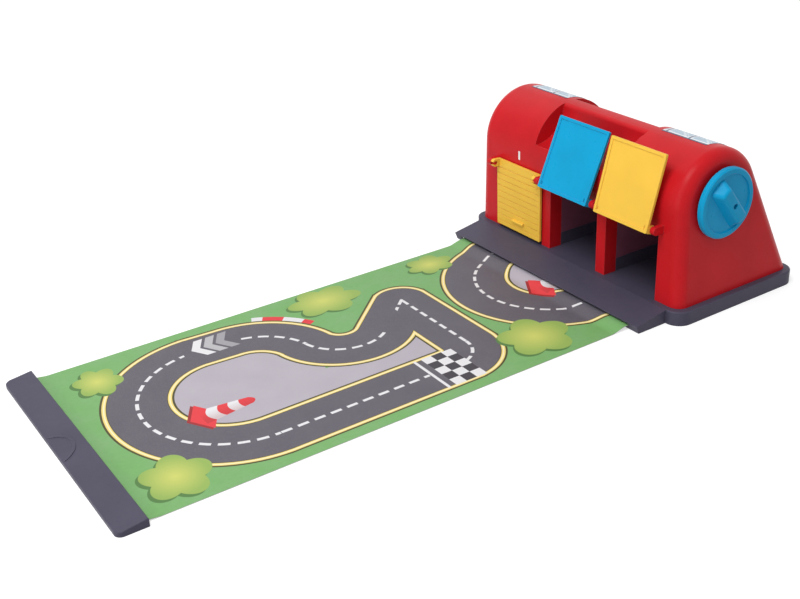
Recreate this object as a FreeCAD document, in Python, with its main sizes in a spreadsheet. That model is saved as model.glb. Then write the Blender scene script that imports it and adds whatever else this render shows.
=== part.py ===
"""Roll-out toy race track: a garage with three doors, and a printed mat that winds onto a spool inside it.

Frame, in millimetres: the origin is the middle of the garage's underside on the floor. +X points to the
knob, -Y to the mat and the pull bar, and +Z up. The mat is drawn fully rolled out.
"""
import FreeCAD, Part
import math
import os
import re

import Sketcher

DIMENSIONS = [
    ("mat_width", 300, "mat, side to side"),
    ("mat_wall", 0.6, "mat's thickness"),
    ("mat_out", 559.5, "mat between the lip and the pull bar, rolled out"),
    ("mat_channel", 3.4, "mat's middle above the floor, inside the base"),
    ("mat_gap", 3, "free space beside the mat in its slots"),
    ("mat_seat", 0.1, "mat clear of the floor and of what it lies on"),
    ("mat_landing", 22, "where the mat comes down to the floor, in front of the lip"),
    ("mat_rise", 14, "where the mat leaves the floor, behind the pull bar"),
    ("base_height", 16.5, "top of the base plate above the floor"),
    ("base_corner", 18, "plan radius of the base plate's corners"),
    ("base_round", 1.6, "rounding of the base plate's top edge"),
    ("base_wall", 2.5, "base plate's side walls"),
    ("base_margin", 8, "base plate beyond the housing's ends"),
    ("back_margin", 4.5, "base plate beyond the housing's back"),
    ("deck_wall", 2.5, "base plate's deck"),
    ("ramp_margin", 15, "ramp beyond the mat at each side"),
    ("ramp_reach", 43.5, "how far the ramp comes forward of the base plate"),
    ("lip_height", 9, "ramp's front lip above the floor"),
    ("lip_wall", 1.8, "wall of the lip"),
    ("lip_undercut", 3.5, "foot of the lip behind its top edge"),
    ("slot_height", 2.8, "slot in the lip that the mat comes out of"),
    ("cover_wall", 2, "bottom cover"),
    ("cover_gap", 0.4, "gap round the covers"),
    ("cover_screw_length", 8, "bottom cover screws, under the head"),
    ("housing_screw_length", 12, "housing screws, under the head"),
    ("cover_screw_inset", 15.5, "bottom cover screws from the base plate's ends"),
    ("cover_screw_margin", 26, "outer bottom cover screws from the base plate's front and back"),
    ("rib_wall", 1.6, "ribs that keep the mat down under the deck"),
    ("rib_pitch", 55, "from one rib to the next"),
    ("rib_gap", 1.7, "free space between the mat and the ribs"),
    ("curb_height", 16.5, "low walls beside the parking bays, above the deck"),
    ("housing_margin", 26, "housing beyond the mat at each side"),
    ("housing_setback", 7, "housing's front wall behind the base plate's front edge"),
    ("housing_wall", 2.5, "red housing's walls"),
    ("housing_round", 14, "rounding between the housing's ends and its front, roof and back"),
    ("arch_radius", 60.5, "outer radius of the roof"),
    ("back_lean", 26, "lean of the back wall from upright, in degrees"),
    ("end_lean", 2.5, "lean of the end walls from upright, in degrees"),
    ("post_boss_setback", 9.5, "screw bosses between the doors, behind the front wall"),
    ("end_boss_inset", 11, "screw bosses from the housing's ends"),
    ("end_boss_front", 43, "front screw bosses at the ends, behind the front wall"),
    ("end_boss_back", 33, "rear screw bosses at the ends, in front of the guide roller"),
    ("boss_height", 26, "screw bosses in the housing"),
    ("boss_radius", 4.2, "screw bosses"),
    ("web_wall", 2, "webs that tie the bosses to the walls"),
    ("bay_width", 81.5, "doorway, side to side"),
    ("post_width", 15, "post between two doorways"),
    ("bay_shift", 3, "middle doorway from the housing's middle, towards the knob"),
    ("bay_top", 96, "top of the doorways above the floor"),
    ("jamb_depth", 15.5, "how far the door frames reach behind the front wall"),
    ("liner_wall", 2.5, "walls of the garage liner and of the low walls under it"),
    ("liner_roller_gap", 9, "low back wall in front of the guide roller"),
    ("hinge_rise", 8, "door hinge above the doorway"),
    ("hinge_offset", 10.5, "door hinge in front of the front wall"),
    ("ear_width", 6, "hinge ear, side to side"),
    ("ear_gap", 0.3, "hinge ear beside the door"),
    ("ear_radius", 4.6, "nose of the hinge ear"),
    ("pin_radius", 2.4, "door hinge pin"),
    ("door_overlap", 0.75, "door leaf beyond the doorway at each side"),
    ("door_gap", 4.5, "gap under a shut door"),
    ("door_wall", 3, "door leaf"),
    ("door_corner", 1.5, "corners of the door leaf"),
    ("door_rim", 3.5, "rim round the door's inner face"),
    ("door_recess", 0.9, "depth of the inner face inside its rim"),
    ("leaf_gap", 1.5, "shut door in front of the front wall"),
    ("leaf_rise", 4.5, "door's top edge above the hinge"),
    ("claw_width", 5, "hinge claw, side to side"),
    ("claw_wall", 2.5, "wall of the hinge claw"),
    ("claw_mouth", 4.1, "mouth of the hinge claw, narrower than the pin"),
    ("pin_clear", 1, "end of a pin short of the claw's inner side"),
    ("slat_count", 9, "slats on a door"),
    ("slat_groove", 0.7, "depth of the grooves between the slats"),
    ("slat_groove_width", 1.2, "width of the grooves between the slats"),
    ("slat_margin", 5, "lowest groove above the door's lower edge"),
    ("slat_side", 2, "end of the grooves inside the door's sides"),
    ("pocket_side", 5, "small pockets in a door's inner face, from its sides"),
    ("pocket_drop", 6, "small pockets below the door's top edge"),
    ("pocket_width", 1.4, "small pockets"),
    ("pocket_height", 4, "small pockets, top to bottom"),
    ("pocket_depth", 1.9, "small pockets, from the door's rim"),
    ("pull_width", 22, "finger pull on a door"),
    ("pull_height", 3.2, "finger pull, top to bottom"),
    ("pull_rise", 2.6, "finger pull, out of the door"),
    ("pull_place", 11, "finger pull above the door's lower edge"),
    ("scoop_length", 140, "finger scoops of the carrying handle, end to end"),
    ("scoop_front_radius", 40, "front scoop"),
    ("scoop_front_out", 18, "front scoop's centre outside the roof"),
    ("scoop_front_angle", 134, "front scoop's direction from the arch centre, in degrees"),
    ("scoop_rear_radius", 27, "rear scoop"),
    ("scoop_rear_out", 4.1, "rear scoop's centre outside the roof"),
    ("scoop_rear_angle", 61.3, "rear scoop's direction from the arch centre, in degrees"),
    ("scoop_edge_round", 5, "rounding of the handle's front edge"),
    ("panel_inset", 32, "rear cover inside the housing's ends"),
    ("panel_top", 6, "rear cover below the roof's arch, along the slope"),
    ("panel_foot", 26.5, "rear cover above the housing's foot, along the slope"),
    ("panel_ledge", 10, "ledge under the rear cover's edge"),
    ("panel_ledge_wall", 2.1, "ledge under the rear cover"),
    ("panel_screw_edge", 6.5, "rear cover screws inside its edge"),
    ("panel_screw_length", 6, "rear cover screws, under the head"),
    ("panel_groove_margin", 20, "grooves on the rear cover inside its top and foot"),
    ("panel_groove_side", 30, "grooves on the rear cover inside its ends"),
    ("panel_groove", 0.7, "depth of the grooves on the rear cover"),
    ("panel_groove_width", 2, "width of the grooves on the rear cover"),
    ("axle_shift", 0.5, "spool axle in front of the arch centre"),
    ("axle_rise", 4, "spool axle above the arch centre"),
    ("spool_gap", 5.5, "spool flange above the garage liner"),
    ("core_radius", 13, "spool core, outside"),
    ("core_bore", 8.7, "spool core, bore"),
    ("core_reach", 8, "spool core beyond the flanges' inner faces"),
    ("plug_length", 20, "how far the shafts reach into the core"),
    ("flange_radius", 24, "spool flange"),
    ("flange_wall", 2, "spool flange"),
    ("flange_gap", 1, "flange beside the mat"),
    ("end_play", 0.5, "end play of the spool between its bearings"),
    ("roll_radius", 15, "turns of mat that stay on the core"),
    ("shaft_radius", 9, "drive shaft in the end wall"),
    ("disc_radius", 22, "drive shaft's disc behind the knob"),
    ("disc_wall", 2, "drive shaft's disc"),
    ("disc_gap", 0.4, "disc and knob clear of the leaning end wall"),
    ("idler_radius", 5, "idler axle in its bearing"),
    ("bearing_wall", 4, "bearing bosses round the shafts"),
    ("running_gap", 0.06, "radial gap of every turning fit"),
    ("press_gap", 0.02, "radial gap of fixed fits"),
    ("peg_radius", 2.5, "pegs on the drive shaft's disc that turn the knob"),
    ("peg_place", 15, "pegs from the axle"),
    ("peg_rise", 2.4, "pegs, out of the disc"),
    ("knob_radius", 40, "knob"),
    ("knob_wall", 7.5, "knob's rim, front to back"),
    ("knob_floor", 4, "knob screw's head above the drive shaft's disc"),
    ("knob_bevel", 1.8, "bevel round the knob"),
    ("knob_rim", 6.5, "rim round the knob's dish"),
    ("knob_dish", 2, "depth of the knob's dish"),
    ("knob_screw_length", 16, "knob screw, under the head"),
    ("grip_length", 59, "grip bar across the knob, at its foot"),
    ("grip_width", 25, "grip bar at its foot"),
    ("grip_height", 12.2, "grip bar, above the dish"),
    ("grip_draft", 6, "how far the grip bar's sides lean in"),
    ("grip_angle", 37.5, "grip bar's tilt from upright, in degrees"),
    ("grip_corner", 5, "corners of the grip bar"),
    ("grip_round", 4, "rounding of the grip bar's crest"),
    ("roller_radius", 6, "guide roller"),
    ("roller_gap", 0.3, "free space between the guide roller and the mat"),
    ("roller_setback", 19, "guide roller in front of the base plate's back edge"),
    ("roller_pin", 2.5, "guide roller's pins"),
    ("pin_length", 14, "guide roller's pins, end to end"),
    ("roller_wall", 3.4, "walls that hold the guide roller's pins"),
    ("bar_margin", 7, "pull bar beyond the mat at each side"),
    ("bar_depth", 30, "pull bar, front to back"),
    ("bar_back", 9, "pull bar's height at the mat"),
    ("bar_front", 5, "pull bar's height at its outer edge"),
    ("bar_corner", 7, "plan radius of the pull bar's outer corners"),
    ("bar_round", 1.2, "rounding of the pull bar's top edges"),
    ("bar_wall", 2, "pull bar's walls"),
    ("bar_nose", 3, "solid nose at the pull bar's outer edge, inside its wall"),
    ("bar_screw_margin", 21, "outer screws inside the pull bar's ends"),
    ("bar_screw_place", 15, "screws behind the pull bar's mat edge"),
    ("clamp_screw_length", 2, "clamp strip screws, under the head"),
    ("strip_wall", 1.6, "clamp strip under the pull bar"),
    ("clamp_depth", 9, "how far the mat reaches into the pull bar"),
    ("grip_arc_radius", 26, "raised finger mark on the pull bar"),
    ("grip_arc_wall", 2.5, "width of the finger mark"),
    ("grip_arc_rise", 0.7, "height of the finger mark"),
    ("grip_arc_shift", 6, "centre of the finger mark outside the pull bar's outer edge"),
    ("screw_radius", 1.4, "shank of the screws"),
    ("screw_head", 2.9, "head of the screws"),
    ("screw_head_height", 1.2, "head of the screws"),
    ("screw_slot", 0.8, "cross recess of the screws, width"),
    ("screw_slot_depth", 0.6, "cross recess of the screws, depth"),
    ("screw_gap", 0.3, "free space round a screw that passes through"),
    ("window_length", 66, "roof window label, along the roof"),
    ("window_place", 79, "roof window label's inner end from the middle"),
    ("window_start", 58, "roof window label's lower edge, degrees round the arch"),
    ("window_sweep", 34, "roof window label, degrees round the arch"),
    ("window_film", 0.3, "roof window label's thickness"),
    ("window_gap", 0.1, "roof window label clear of the roof"),
]

doc = FreeCAD.newDocument("toy_race_track")
sheet = doc.addObject("Spreadsheet::Sheet", "sizes")
for row, (alias, size, meaning) in enumerate(DIMENSIONS, start=1):
    sheet.set(f"A{row}", meaning)
    sheet.set(f"B{row}", str(size))
    sheet.setAlias(f"B{row}", alias)
doc.recompute()
ALIASES = re.compile(r"\b(" + "|".join(alias for alias, _, _ in DIMENSIONS) + r")\b")
NODES = []

# Places that several pieces share, spelled with the sheet's names
HOUSING_LENGTH = "(mat_width + 2 * housing_margin)"
BASE_LENGTH = f"({HOUSING_LENGTH} + 2 * base_margin)"
RAMP_LENGTH = "(mat_width + 2 * ramp_margin)"
SLOT = "(mat_width / 2 + mat_gap)"
DOOR_WIDTH = "(bay_width + 2 * door_overlap)"
HINGE_Z = "(bay_top + hinge_rise)"
LINER_TOP = "(bay_top + liner_wall + 0.5)"
AXLE_Z = f"({LINER_TOP} + spool_gap + flange_radius)"
ARCH_Z = f"({AXLE_Z} - axle_rise)"
SLOPE_TOP = f"({ARCH_Z} + arch_radius * sin(back_lean))"
SLOPE = f"(({SLOPE_TOP} - base_height) / cos(back_lean))"
BASE_DEPTH = (
    f"(housing_setback + arch_radius * (1 + cos(back_lean)) + {SLOPE} * sin(back_lean) + back_margin)"
)
FRONT_EDGE = f"(-{BASE_DEPTH} / 2)"
LIP = f"({FRONT_EDGE} - ramp_reach)"
LIP_FOOT = f"({LIP} + lip_undercut)"
SLOT_FOOT = "(lip_height - lip_wall - slot_height)"
WALL = f"({FRONT_EDGE} + housing_setback)"
ARCH_Y = f"({WALL} + arch_radius)"
AXLE_Y = f"({ARCH_Y} - axle_shift)"
HINGE_Y = f"({WALL} - hinge_offset)"
LEAF_BACK = "(hinge_offset - leaf_gap)"
LEAF_FOOT = f"(base_height + door_gap - {HINGE_Z})"
FRAME_BACK = f"({WALL} + housing_wall + jamb_depth)"
ROLLER_Y = f"({BASE_DEPTH} / 2 - roller_setback)"
ROLLER_Z = "(mat_channel + mat_wall / 2 + roller_gap + roller_radius)"
BAY_BACK = f"({ROLLER_Y} - roller_radius - liner_roller_gap)"
CURB_TOP = "(base_height + curb_height)"
SPOOL_END = "(mat_width / 2 + flange_gap)"
BEARING = f"({SPOOL_END} + core_reach + end_play)"
BAR_Y = f"({LIP} - mat_out)"
BAR_OUTER = f"({BAR_Y} - bar_depth)"
BAR_LENGTH = "(mat_width + 2 * bar_margin)"
PANEL_WIDTH = f"({HOUSING_LENGTH} - 2 * panel_inset)"
PANEL_LENGTH = f"({SLOPE} - panel_top - panel_foot)"
SIDES = (-1, 1)
BAYS = (-1, 0, 1)
SCOOPS = ("front", "rear")


def spelled(text):
    """An expression with the sheet's name put before each alias."""
    return ALIASES.sub(r"sizes.\1", str(text))


def size_of(text):
    """The number that an expression gives now."""
    return float(sheet.evalExpression(spelled(text)))


def bind(item, **properties):
    """Ties properties of an object to expressions."""
    for name, text in properties.items():
        item.setExpression(name, spelled(text))
    return item


def place(item, x=0, y=0, z=0, axis=None, angle=0):
    """Ties an object's place, and its turn about an axis, to expressions."""
    if axis:
        turn = FreeCAD.Rotation(FreeCAD.Vector(*axis), size_of(angle) or 1)
        item.Placement = FreeCAD.Placement(FreeCAD.Vector(), turn)
        item.setExpression("Placement.Rotation.Angle", spelled(angle))
    for name, text in (("x", x), ("y", y), ("z", z)):
        item.setExpression(f"Placement.Base.{name}", spelled(text))
    return item


def box(name, length, width, height, x=0, y=0, z=0):
    """A box from its lowest corner."""
    item = bind(doc.addObject("Part::Box", name), Length=length, Width=width, Height=height)
    return place(item, x, y, z)


def wide_box(name, length, width, height, y=0, z=0):
    """A box that is centred on X = 0."""
    return box(name, length, width, height, f"-({length}) / 2", y, z)


def cylinder(name, radius, height, x=0, y=0, z=0, axis=None, angle=90):
    """A cylinder along +Z, or turned about an axis."""
    item = bind(doc.addObject("Part::Cylinder", name), Radius=radius, Height=height)
    return place(item, x, y, z, axis, angle)


def rod(name, radius, length, x=0, y=0, z=0):
    """A cylinder along +X from its left end."""
    return cylinder(name, radius, length, x, y, z, (0, 1, 0), 90)


def cut(name, base, *tools):
    """base with the tools taken away."""
    item = doc.addObject("Part::Cut", name)
    item.Base = base
    item.Tool = tools[0] if len(tools) == 1 else fuse(name + "_tools", *tools)
    return item


def fuse(name, *parts):
    """Several solids as one."""
    item = doc.addObject("Part::MultiFuse", name)
    item.Shapes = list(parts)
    item.Refine = True
    return item


def common(name, first, second):
    """What two solids share."""
    item = doc.addObject("Part::Common", name)
    item.Base = first
    item.Tool = second
    return item


def group(name, parts):
    """Separate solids under one name."""
    item = doc.addObject("Part::Compound", name)
    item.Links = list(parts)
    return item


def rounded(name, base, radius, chosen):
    """base with the edges rounded that the test picks."""
    doc.recompute()
    edges = [number for number, edge in enumerate(base.Shape.Edges, start=1) if chosen(edge)]
    item = doc.addObject("Part::Fillet", name)
    item.Base = base
    item.Edges = [(number, size_of(radius), size_of(radius)) for number in edges]
    return item


def upright(edge):
    """Whether an edge is straight and runs along Z."""
    first, last = edge.Vertexes[0].Point, edge.Vertexes[-1].Point
    return edge.Curve.TypeId == "Part::GeomLine" and abs(first.z - last.z) > 0.99 * edge.Length


def lies_at(edge, axis, level):
    """Whether every end of an edge has one coordinate."""
    return all(abs(getattr(vertex.Point, axis) - level) < 0.01 for vertex in edge.Vertexes)


def draw(sketch, corners):
    """Closes an outline through corners. A corner is two expressions, or four where an arc about a centre
    leads to it. An arc's corner is tied by its height alone, and the centre by both places."""
    points = [FreeCAD.Vector(size_of(corner[0]), size_of(corner[1]), 0) for corner in corners]
    count = len(corners)
    for number, corner in enumerate(corners):
        start, end = points[number - 1], points[number]
        if len(corner) == 2:
            sketch.addGeometry(Part.LineSegment(start, end))
            continue
        centre = FreeCAD.Vector(size_of(corner[2]), size_of(corner[3]), 0)
        circle = Part.Circle(centre, FreeCAD.Vector(0, 0, 1), (start - centre).Length)
        sketch.addGeometry(Part.ArcOfCircle(circle, circle.parameter(end), circle.parameter(start)))
    for number, corner in enumerate(corners):
        after = (number + 1) % count
        end_of = 1 if len(corner) == 4 else 2
        start_of = 2 if len(corners[after]) == 4 else 1
        sketch.addConstraint(Sketcher.Constraint("Coincident", number, end_of, after, start_of))
    for number, corner in enumerate(corners):
        pins = [("DistanceY", number, 1, corner[1])] if len(corner) == 4 else []
        if len(corner) == 4:
            pins += [("DistanceX", number, 3, corner[2]), ("DistanceY", number, 3, corner[3])]
        else:
            pins += [("DistanceX", number, 2, corner[0]), ("DistanceY", number, 2, corner[1])]
        for kind, element, point, text in pins:
            added = sketch.addConstraint(Sketcher.Constraint(kind, -1, 1, element, point, size_of(text)))
            sketch.setExpression(f"Constraints[{added}]", spelled(text))
    return sketch


def side_prism(name, corners, length, x="0"):
    """An outline in the YZ plane, drawn out along X to both sides of x."""
    sketch = doc.addObject("Sketcher::SketchObject", name + "_outline")
    sketch.Placement = FreeCAD.Placement(FreeCAD.Vector(), FreeCAD.Rotation(FreeCAD.Vector(1, 1, 1), 120))
    draw(sketch, corners)
    item = doc.addObject("Part::Extrusion", name)
    item.Base = sketch
    item.DirMode = "Custom"
    item.Dir = FreeCAD.Vector(1, 0, 0)
    item.Symmetric = True
    item.Solid = True
    bind(item, LengthFwd=length)
    return place(item, x=x)


def bay_x(step):
    """X of a bay's middle, or of a post's where step is a half, counted from the middle bay."""
    return f"(bay_shift + {step} * (bay_width + post_width))"


def new_body(name):
    """An empty body at the origin."""
    return doc.addObject("PartDesign::Body", name)


def body_sketch(body, name, plane, corners):
    """An outline on one of a body's own planes."""
    sketch = body.newObject("Sketcher::SketchObject", name)
    origin = next(feature for feature in body.Origin.OriginFeatures if feature.Role == plane)
    sketch.AttachmentSupport = (origin, [""])
    sketch.MapMode = "FlatFace"
    return draw(sketch, corners)


def turned(name, corners):
    """A body that an outline makes when it turns about Z. The outline's places are radius and height."""
    body = new_body(name)
    sketch = body_sketch(body, name + "_profile", "XZ_Plane", corners)
    feature = body.newObject("PartDesign::Revolution", name + "_turn")
    feature.Profile = sketch
    feature.ReferenceAxis = (sketch, ["V_Axis"])
    feature.Angle = 360
    return body


def node(item, name):
    """Keeps an object as a finished piece under a name."""
    item.Label = name
    NODES.append((name, item))
    return item


def screw(name, length):
    """A pan-head screw with a cross recess. Its head lies under z = 0 and its shank points up."""
    head = cylinder(name + "_head", "screw_head", "screw_head_height", z="-screw_head_height")
    shank = cylinder(name + "_shank", "screw_radius", length)
    arm = "screw_head * 1.2"
    slots = [
        box(f"{name}_slot_{number}", long, wide, "screw_slot_depth", f"-{long} / 2", f"-{wide} / 2",
            "-screw_head_height")
        for number, (long, wide) in enumerate(((arm, "screw_slot"), ("screw_slot", arm)))
    ]
    return cut(name, fuse(name + "_blank", head, shank), *slots)


def screw_group(name, length, places, axis=None, angle=0):
    """Like screws at several places, all turned alike."""
    made = [
        place(screw(f"{name}_{number}", length), *where, axis, angle)
        for number, where in enumerate(places, start=1)
    ]
    return node(group(name, made), name)


# Base plate with the ramp, the ribs over the mat, the screw bosses and the low walls of the parking bays
COVER_SCREWS = [
    (f"{side} * ({BASE_LENGTH} / 2 - cover_screw_inset)",
     f"{step} * ({BASE_DEPTH} / 2 - cover_screw_margin)")
    for side in SIDES
    for step in (-1, 0, 1)
]
HOUSING_SCREWS = [(bay_x(side / 2), f"{WALL} + post_boss_setback") for side in SIDES] + [
    (f"{side} * ({HOUSING_LENGTH} / 2 - end_boss_inset)", y)
    for side in SIDES
    for y in (f"{WALL} + end_boss_front", f"{ROLLER_Y} - end_boss_back")
]


def make_base():
    """The base plate."""
    plate = wide_box("plate", BASE_LENGTH, BASE_DEPTH, "base_height", FRONT_EDGE)
    plate = rounded("plate_corners", plate, "base_corner", upright)
    top = size_of("base_height")
    plate = rounded("plate_round", plate, "base_round", lambda edge: lies_at(edge, "z", top))
    root = f"{FRONT_EDGE} + base_corner"
    ramp = side_prism("ramp", [
        (root, "0"), (root, "base_height"), (FRONT_EDGE, "base_height"), (LIP, "lip_height"),
        (LIP_FOOT, "0"),
    ], RAMP_LENGTH)
    hollow = wide_box(
        "plate_hollow", f"{BASE_LENGTH} - 2 * base_wall", f"{BASE_DEPTH} - 2 * base_wall",
        "base_height - deck_wall", f"{FRONT_EDGE} + base_wall",
    )
    hollow = rounded("plate_hollow_corners", hollow, "base_corner - base_wall", upright)
    ramp_hollow = side_prism("ramp_hollow", [
        (root, "0"), (root, "base_height - deck_wall"), (FRONT_EDGE, "base_height - deck_wall"),
        (f"{LIP} + lip_wall * (1 + lip_undercut / lip_height)", "lip_height - lip_wall"),
        (f"{LIP_FOOT} + lip_wall", "0"),
    ], f"{RAMP_LENGTH} - 2 * base_wall")
    lip_slot = wide_box("lip_slot", f"2 * {SLOT}", "lip_undercut + lip_wall + 2", "slot_height",
                        f"{LIP} - 1", SLOT_FOOT)
    mat_slot = wide_box(
        "mat_slot", f"2 * {SLOT}", "2 * roller_radius + 3 * mat_gap", "base_height",
        f"{ROLLER_Y} - roller_radius - mat_gap", "mat_channel",
    )
    shell = cut("base_shell", fuse("base_solid", plate, ramp), hollow, ramp_hollow, lip_slot, mat_slot)
    under_deck = "(base_height - deck_wall)"
    rib_foot = "(mat_channel + mat_wall / 2 + rib_gap)"
    added = []
    for number in range(-2, 3):
        added.append(box(
            f"mat_rib_{number + 3}", "rib_wall", f"{BAY_BACK} - {FRONT_EDGE}",
            f"{under_deck} + 0.5 - {rib_foot}", f"{number} * rib_pitch - rib_wall / 2", FRONT_EDGE, rib_foot,
        ))
    over_cover = "(cover_wall + 0.2)"
    boss_height = f"{under_deck} + 0.5 - {over_cover}"
    for side in SIDES:
        added.append(box(
            f"roller_wall_{side + 1}", "roller_wall", "4 * roller_radius", boss_height,
            f"{side} * ({SLOT} + roller_gap + roller_wall / 2) - roller_wall / 2",
            f"{ROLLER_Y} - 2 * roller_radius", over_cover,
        ))
    for number, (x, y) in enumerate(COVER_SCREWS):
        added.append(cylinder(f"cover_boss_{number}", "boss_radius", boss_height, x, y, over_cover))
    for bay in BAYS:
        for side in SIDES:
            added.append(box(
                f"curb_{bay + 1}_{side + 1}", "liner_wall", f"{BAY_BACK} - {FRAME_BACK}", "curb_height + 1",
                f"{bay_x(bay)} + {side} * (bay_width + liner_wall) / 2 - liner_wall / 2", FRAME_BACK,
                "base_height - 1",
            ))
        added.append(box(
            f"curb_back_{bay + 1}", "bay_width + liner_wall", "liner_wall", "curb_height + 1",
            f"{bay_x(bay)} - (bay_width + liner_wall) / 2", f"{BAY_BACK} - liner_wall",
            "base_height - 1",
        ))
    holes = []
    tapped = "screw_radius + press_gap"
    clear = "screw_radius + screw_gap"
    for number, (x, y) in enumerate(COVER_SCREWS):
        holes.append(cylinder(f"cover_boss_hole_{number}", tapped, "cover_screw_length + 2", x, y))
    for number, (x, y) in enumerate(HOUSING_SCREWS):
        holes.append(cylinder(f"deck_hole_{number}", clear, "2 * deck_wall", x, y, f"{under_deck} - 1"))
    for side in SIDES:
        holes.append(rod(
            f"roller_pin_hole_{side + 1}", "roller_pin + press_gap", "2 * roller_wall + 2",
            f"{side} * ({SLOT} + roller_wall) - roller_wall - 1", ROLLER_Y, ROLLER_Z,
        ))
    node(cut("base", fuse("base_ribbed", shell, *added), *holes), "base")


def make_bottom_cover():
    """The cover under the base, its screws, and the screws that hold the housing from below."""
    inset = "(base_wall + cover_gap)"
    plate = wide_box(
        "cover_plate", f"{BASE_LENGTH} - 2 * {inset}", f"{BASE_DEPTH} - 2 * {inset}", "cover_wall",
        f"{FRONT_EDGE} + {inset}",
    )
    plate = rounded("cover_corners", plate, f"base_corner - {inset}", upright)
    holes = []
    clear = "screw_radius + screw_gap"
    for number, (x, y) in enumerate(COVER_SCREWS):
        holes.append(cylinder(f"cover_hole_{number}", clear, "cover_wall + 2", x, y, "-1"))
        holes.append(cylinder(f"cover_recess_{number}", "screw_head + screw_gap", "screw_head_height", x, y))
    node(cut("bottom_cover", plate, *holes), "bottom_cover")
    heads = [(x, y, "screw_head_height") for x, y in COVER_SCREWS]
    screw_group("bottom_cover_screws", "cover_screw_length", heads)
    heads = [(x, y, "base_height - deck_wall") for x, y in HOUSING_SCREWS]
    screw_group("housing_screws", "housing_screw_length", heads)


# Red housing: one moulding with the front wall, the arched roof and both ends, open at the back
def housing_block(name, inset):
    """The housing as a full block, that far inside its outer faces, standing on the base plate."""
    reach = f"(arch_radius - {inset})"
    tangent_y = f"({ARCH_Y} + {reach} * cos(back_lean))"
    tangent_z = f"({ARCH_Z} + {reach} * sin(back_lean))"
    block = side_prism(name + "_arch", [
        (f"{tangent_y} + ({tangent_z} - base_height) * tan(back_lean)", "base_height"),
        (f"{WALL} + {inset}", "base_height"), (f"{WALL} + {inset}", ARCH_Z),
        (tangent_y, tangent_z, ARCH_Y, ARCH_Z),
    ], f"{HOUSING_LENGTH} + 40")
    ends = []
    for side in SIDES:
        wedge = box(f"{name}_end_{side + 1}", "60", "800", "600")
        half = f"({HOUSING_LENGTH} / 2 - {inset} / cos(end_lean) + 100 * sin(end_lean))"
        x = half if side > 0 else f"-{half} - 60 * cos(end_lean)"
        z = "base_height - 100 * cos(end_lean)" + ("" if side > 0 else " + 60 * sin(end_lean)")
        ends.append(place(wedge, x, "-400", z, (0, 1, 0), "-end_lean" if side > 0 else "end_lean"))
    block = cut(name + "_sides", block, *ends)
    half = size_of(f"{HOUSING_LENGTH} / 2 - {inset}")
    lean = size_of("tan(end_lean)")
    foot = size_of("base_height")

    def on_end(edge):
        points = [vertex.Point for vertex in edge.Vertexes]
        at_end = all(abs(point.x) > half - 0.5 - (point.z - foot) * lean for point in points)
        one_end = len({point.x > 0 for point in points}) == 1
        return at_end and one_end and not lies_at(edge, "z", foot)

    return rounded(name, block, f"housing_round - {inset}", on_end)


def scoop(name, which, grown):
    """A finger scoop, or its wall's outside where grown."""
    reach = f"(arch_radius + scoop_{which}_out)"
    return rod(
        name, f"scoop_{which}_radius + {grown}", f"scoop_length + 2 * {grown}",
        f"-(scoop_length / 2 + {grown})", f"{ARCH_Y} + {reach} * cos(scoop_{which}_angle)",
        f"{ARCH_Z} + {reach} * sin(scoop_{which}_angle)",
    )


def on_handle_front(edge):
    """Whether an edge is the handle's front one: along the roof, between the handle and the front scoop."""
    middle = edge.CenterOfMass - FreeCAD.Vector(edge.CenterOfMass.x, size_of(ARCH_Y), size_of(ARCH_Z))
    turn = math.degrees(math.atan2(middle.z, middle.y))
    behind = size_of("(scoop_front_angle + scoop_rear_angle) / 2")
    return (abs(middle.Length - size_of("arch_radius")) < 0.01
            and behind < turn < size_of("scoop_front_angle"))


def on_back(item, x, down, out, turn="back_lean - 90"):
    """Puts an object on the back slope: x, how far down from the arch, and how far out of the outer face."""
    reach = f"(arch_radius + ({out}))"
    y = f"{ARCH_Y} + {reach} * cos(back_lean) + ({down}) * sin(back_lean)"
    z = f"{ARCH_Z} + {reach} * sin(back_lean) - ({down}) * cos(back_lean)"
    return place(item, x, y, z, (1, 0, 0), turn)


def back_box(name, length, down, width, out, height):
    """A box on the back slope, centred on X = 0. It starts at down and reaches outward from out."""
    item = bind(doc.addObject("Part::Box", name), Length=length, Width=width, Height=height)
    return on_back(item, f"-({length}) / 2", down, out)


def back_cylinder(name, radius, height, x, down, out):
    """A cylinder that stands on the back slope."""
    item = bind(doc.addObject("Part::Cylinder", name), Radius=radius, Height=height)
    return on_back(item, x, down, out)


PANEL_SCREWS = [
    (f"{side} * ({PANEL_WIDTH} / 2 - panel_screw_edge)",
     f"panel_top + panel_screw_edge + {step} * ({PANEL_LENGTH} / 2 - panel_screw_edge)")
    for side in SIDES
    for step in range(3)
]


def end_wall(height):
    """X of the right end wall's outer face at a height."""
    return f"({HOUSING_LENGTH} / 2 - ({height} - base_height) * tan(end_lean))"


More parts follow.
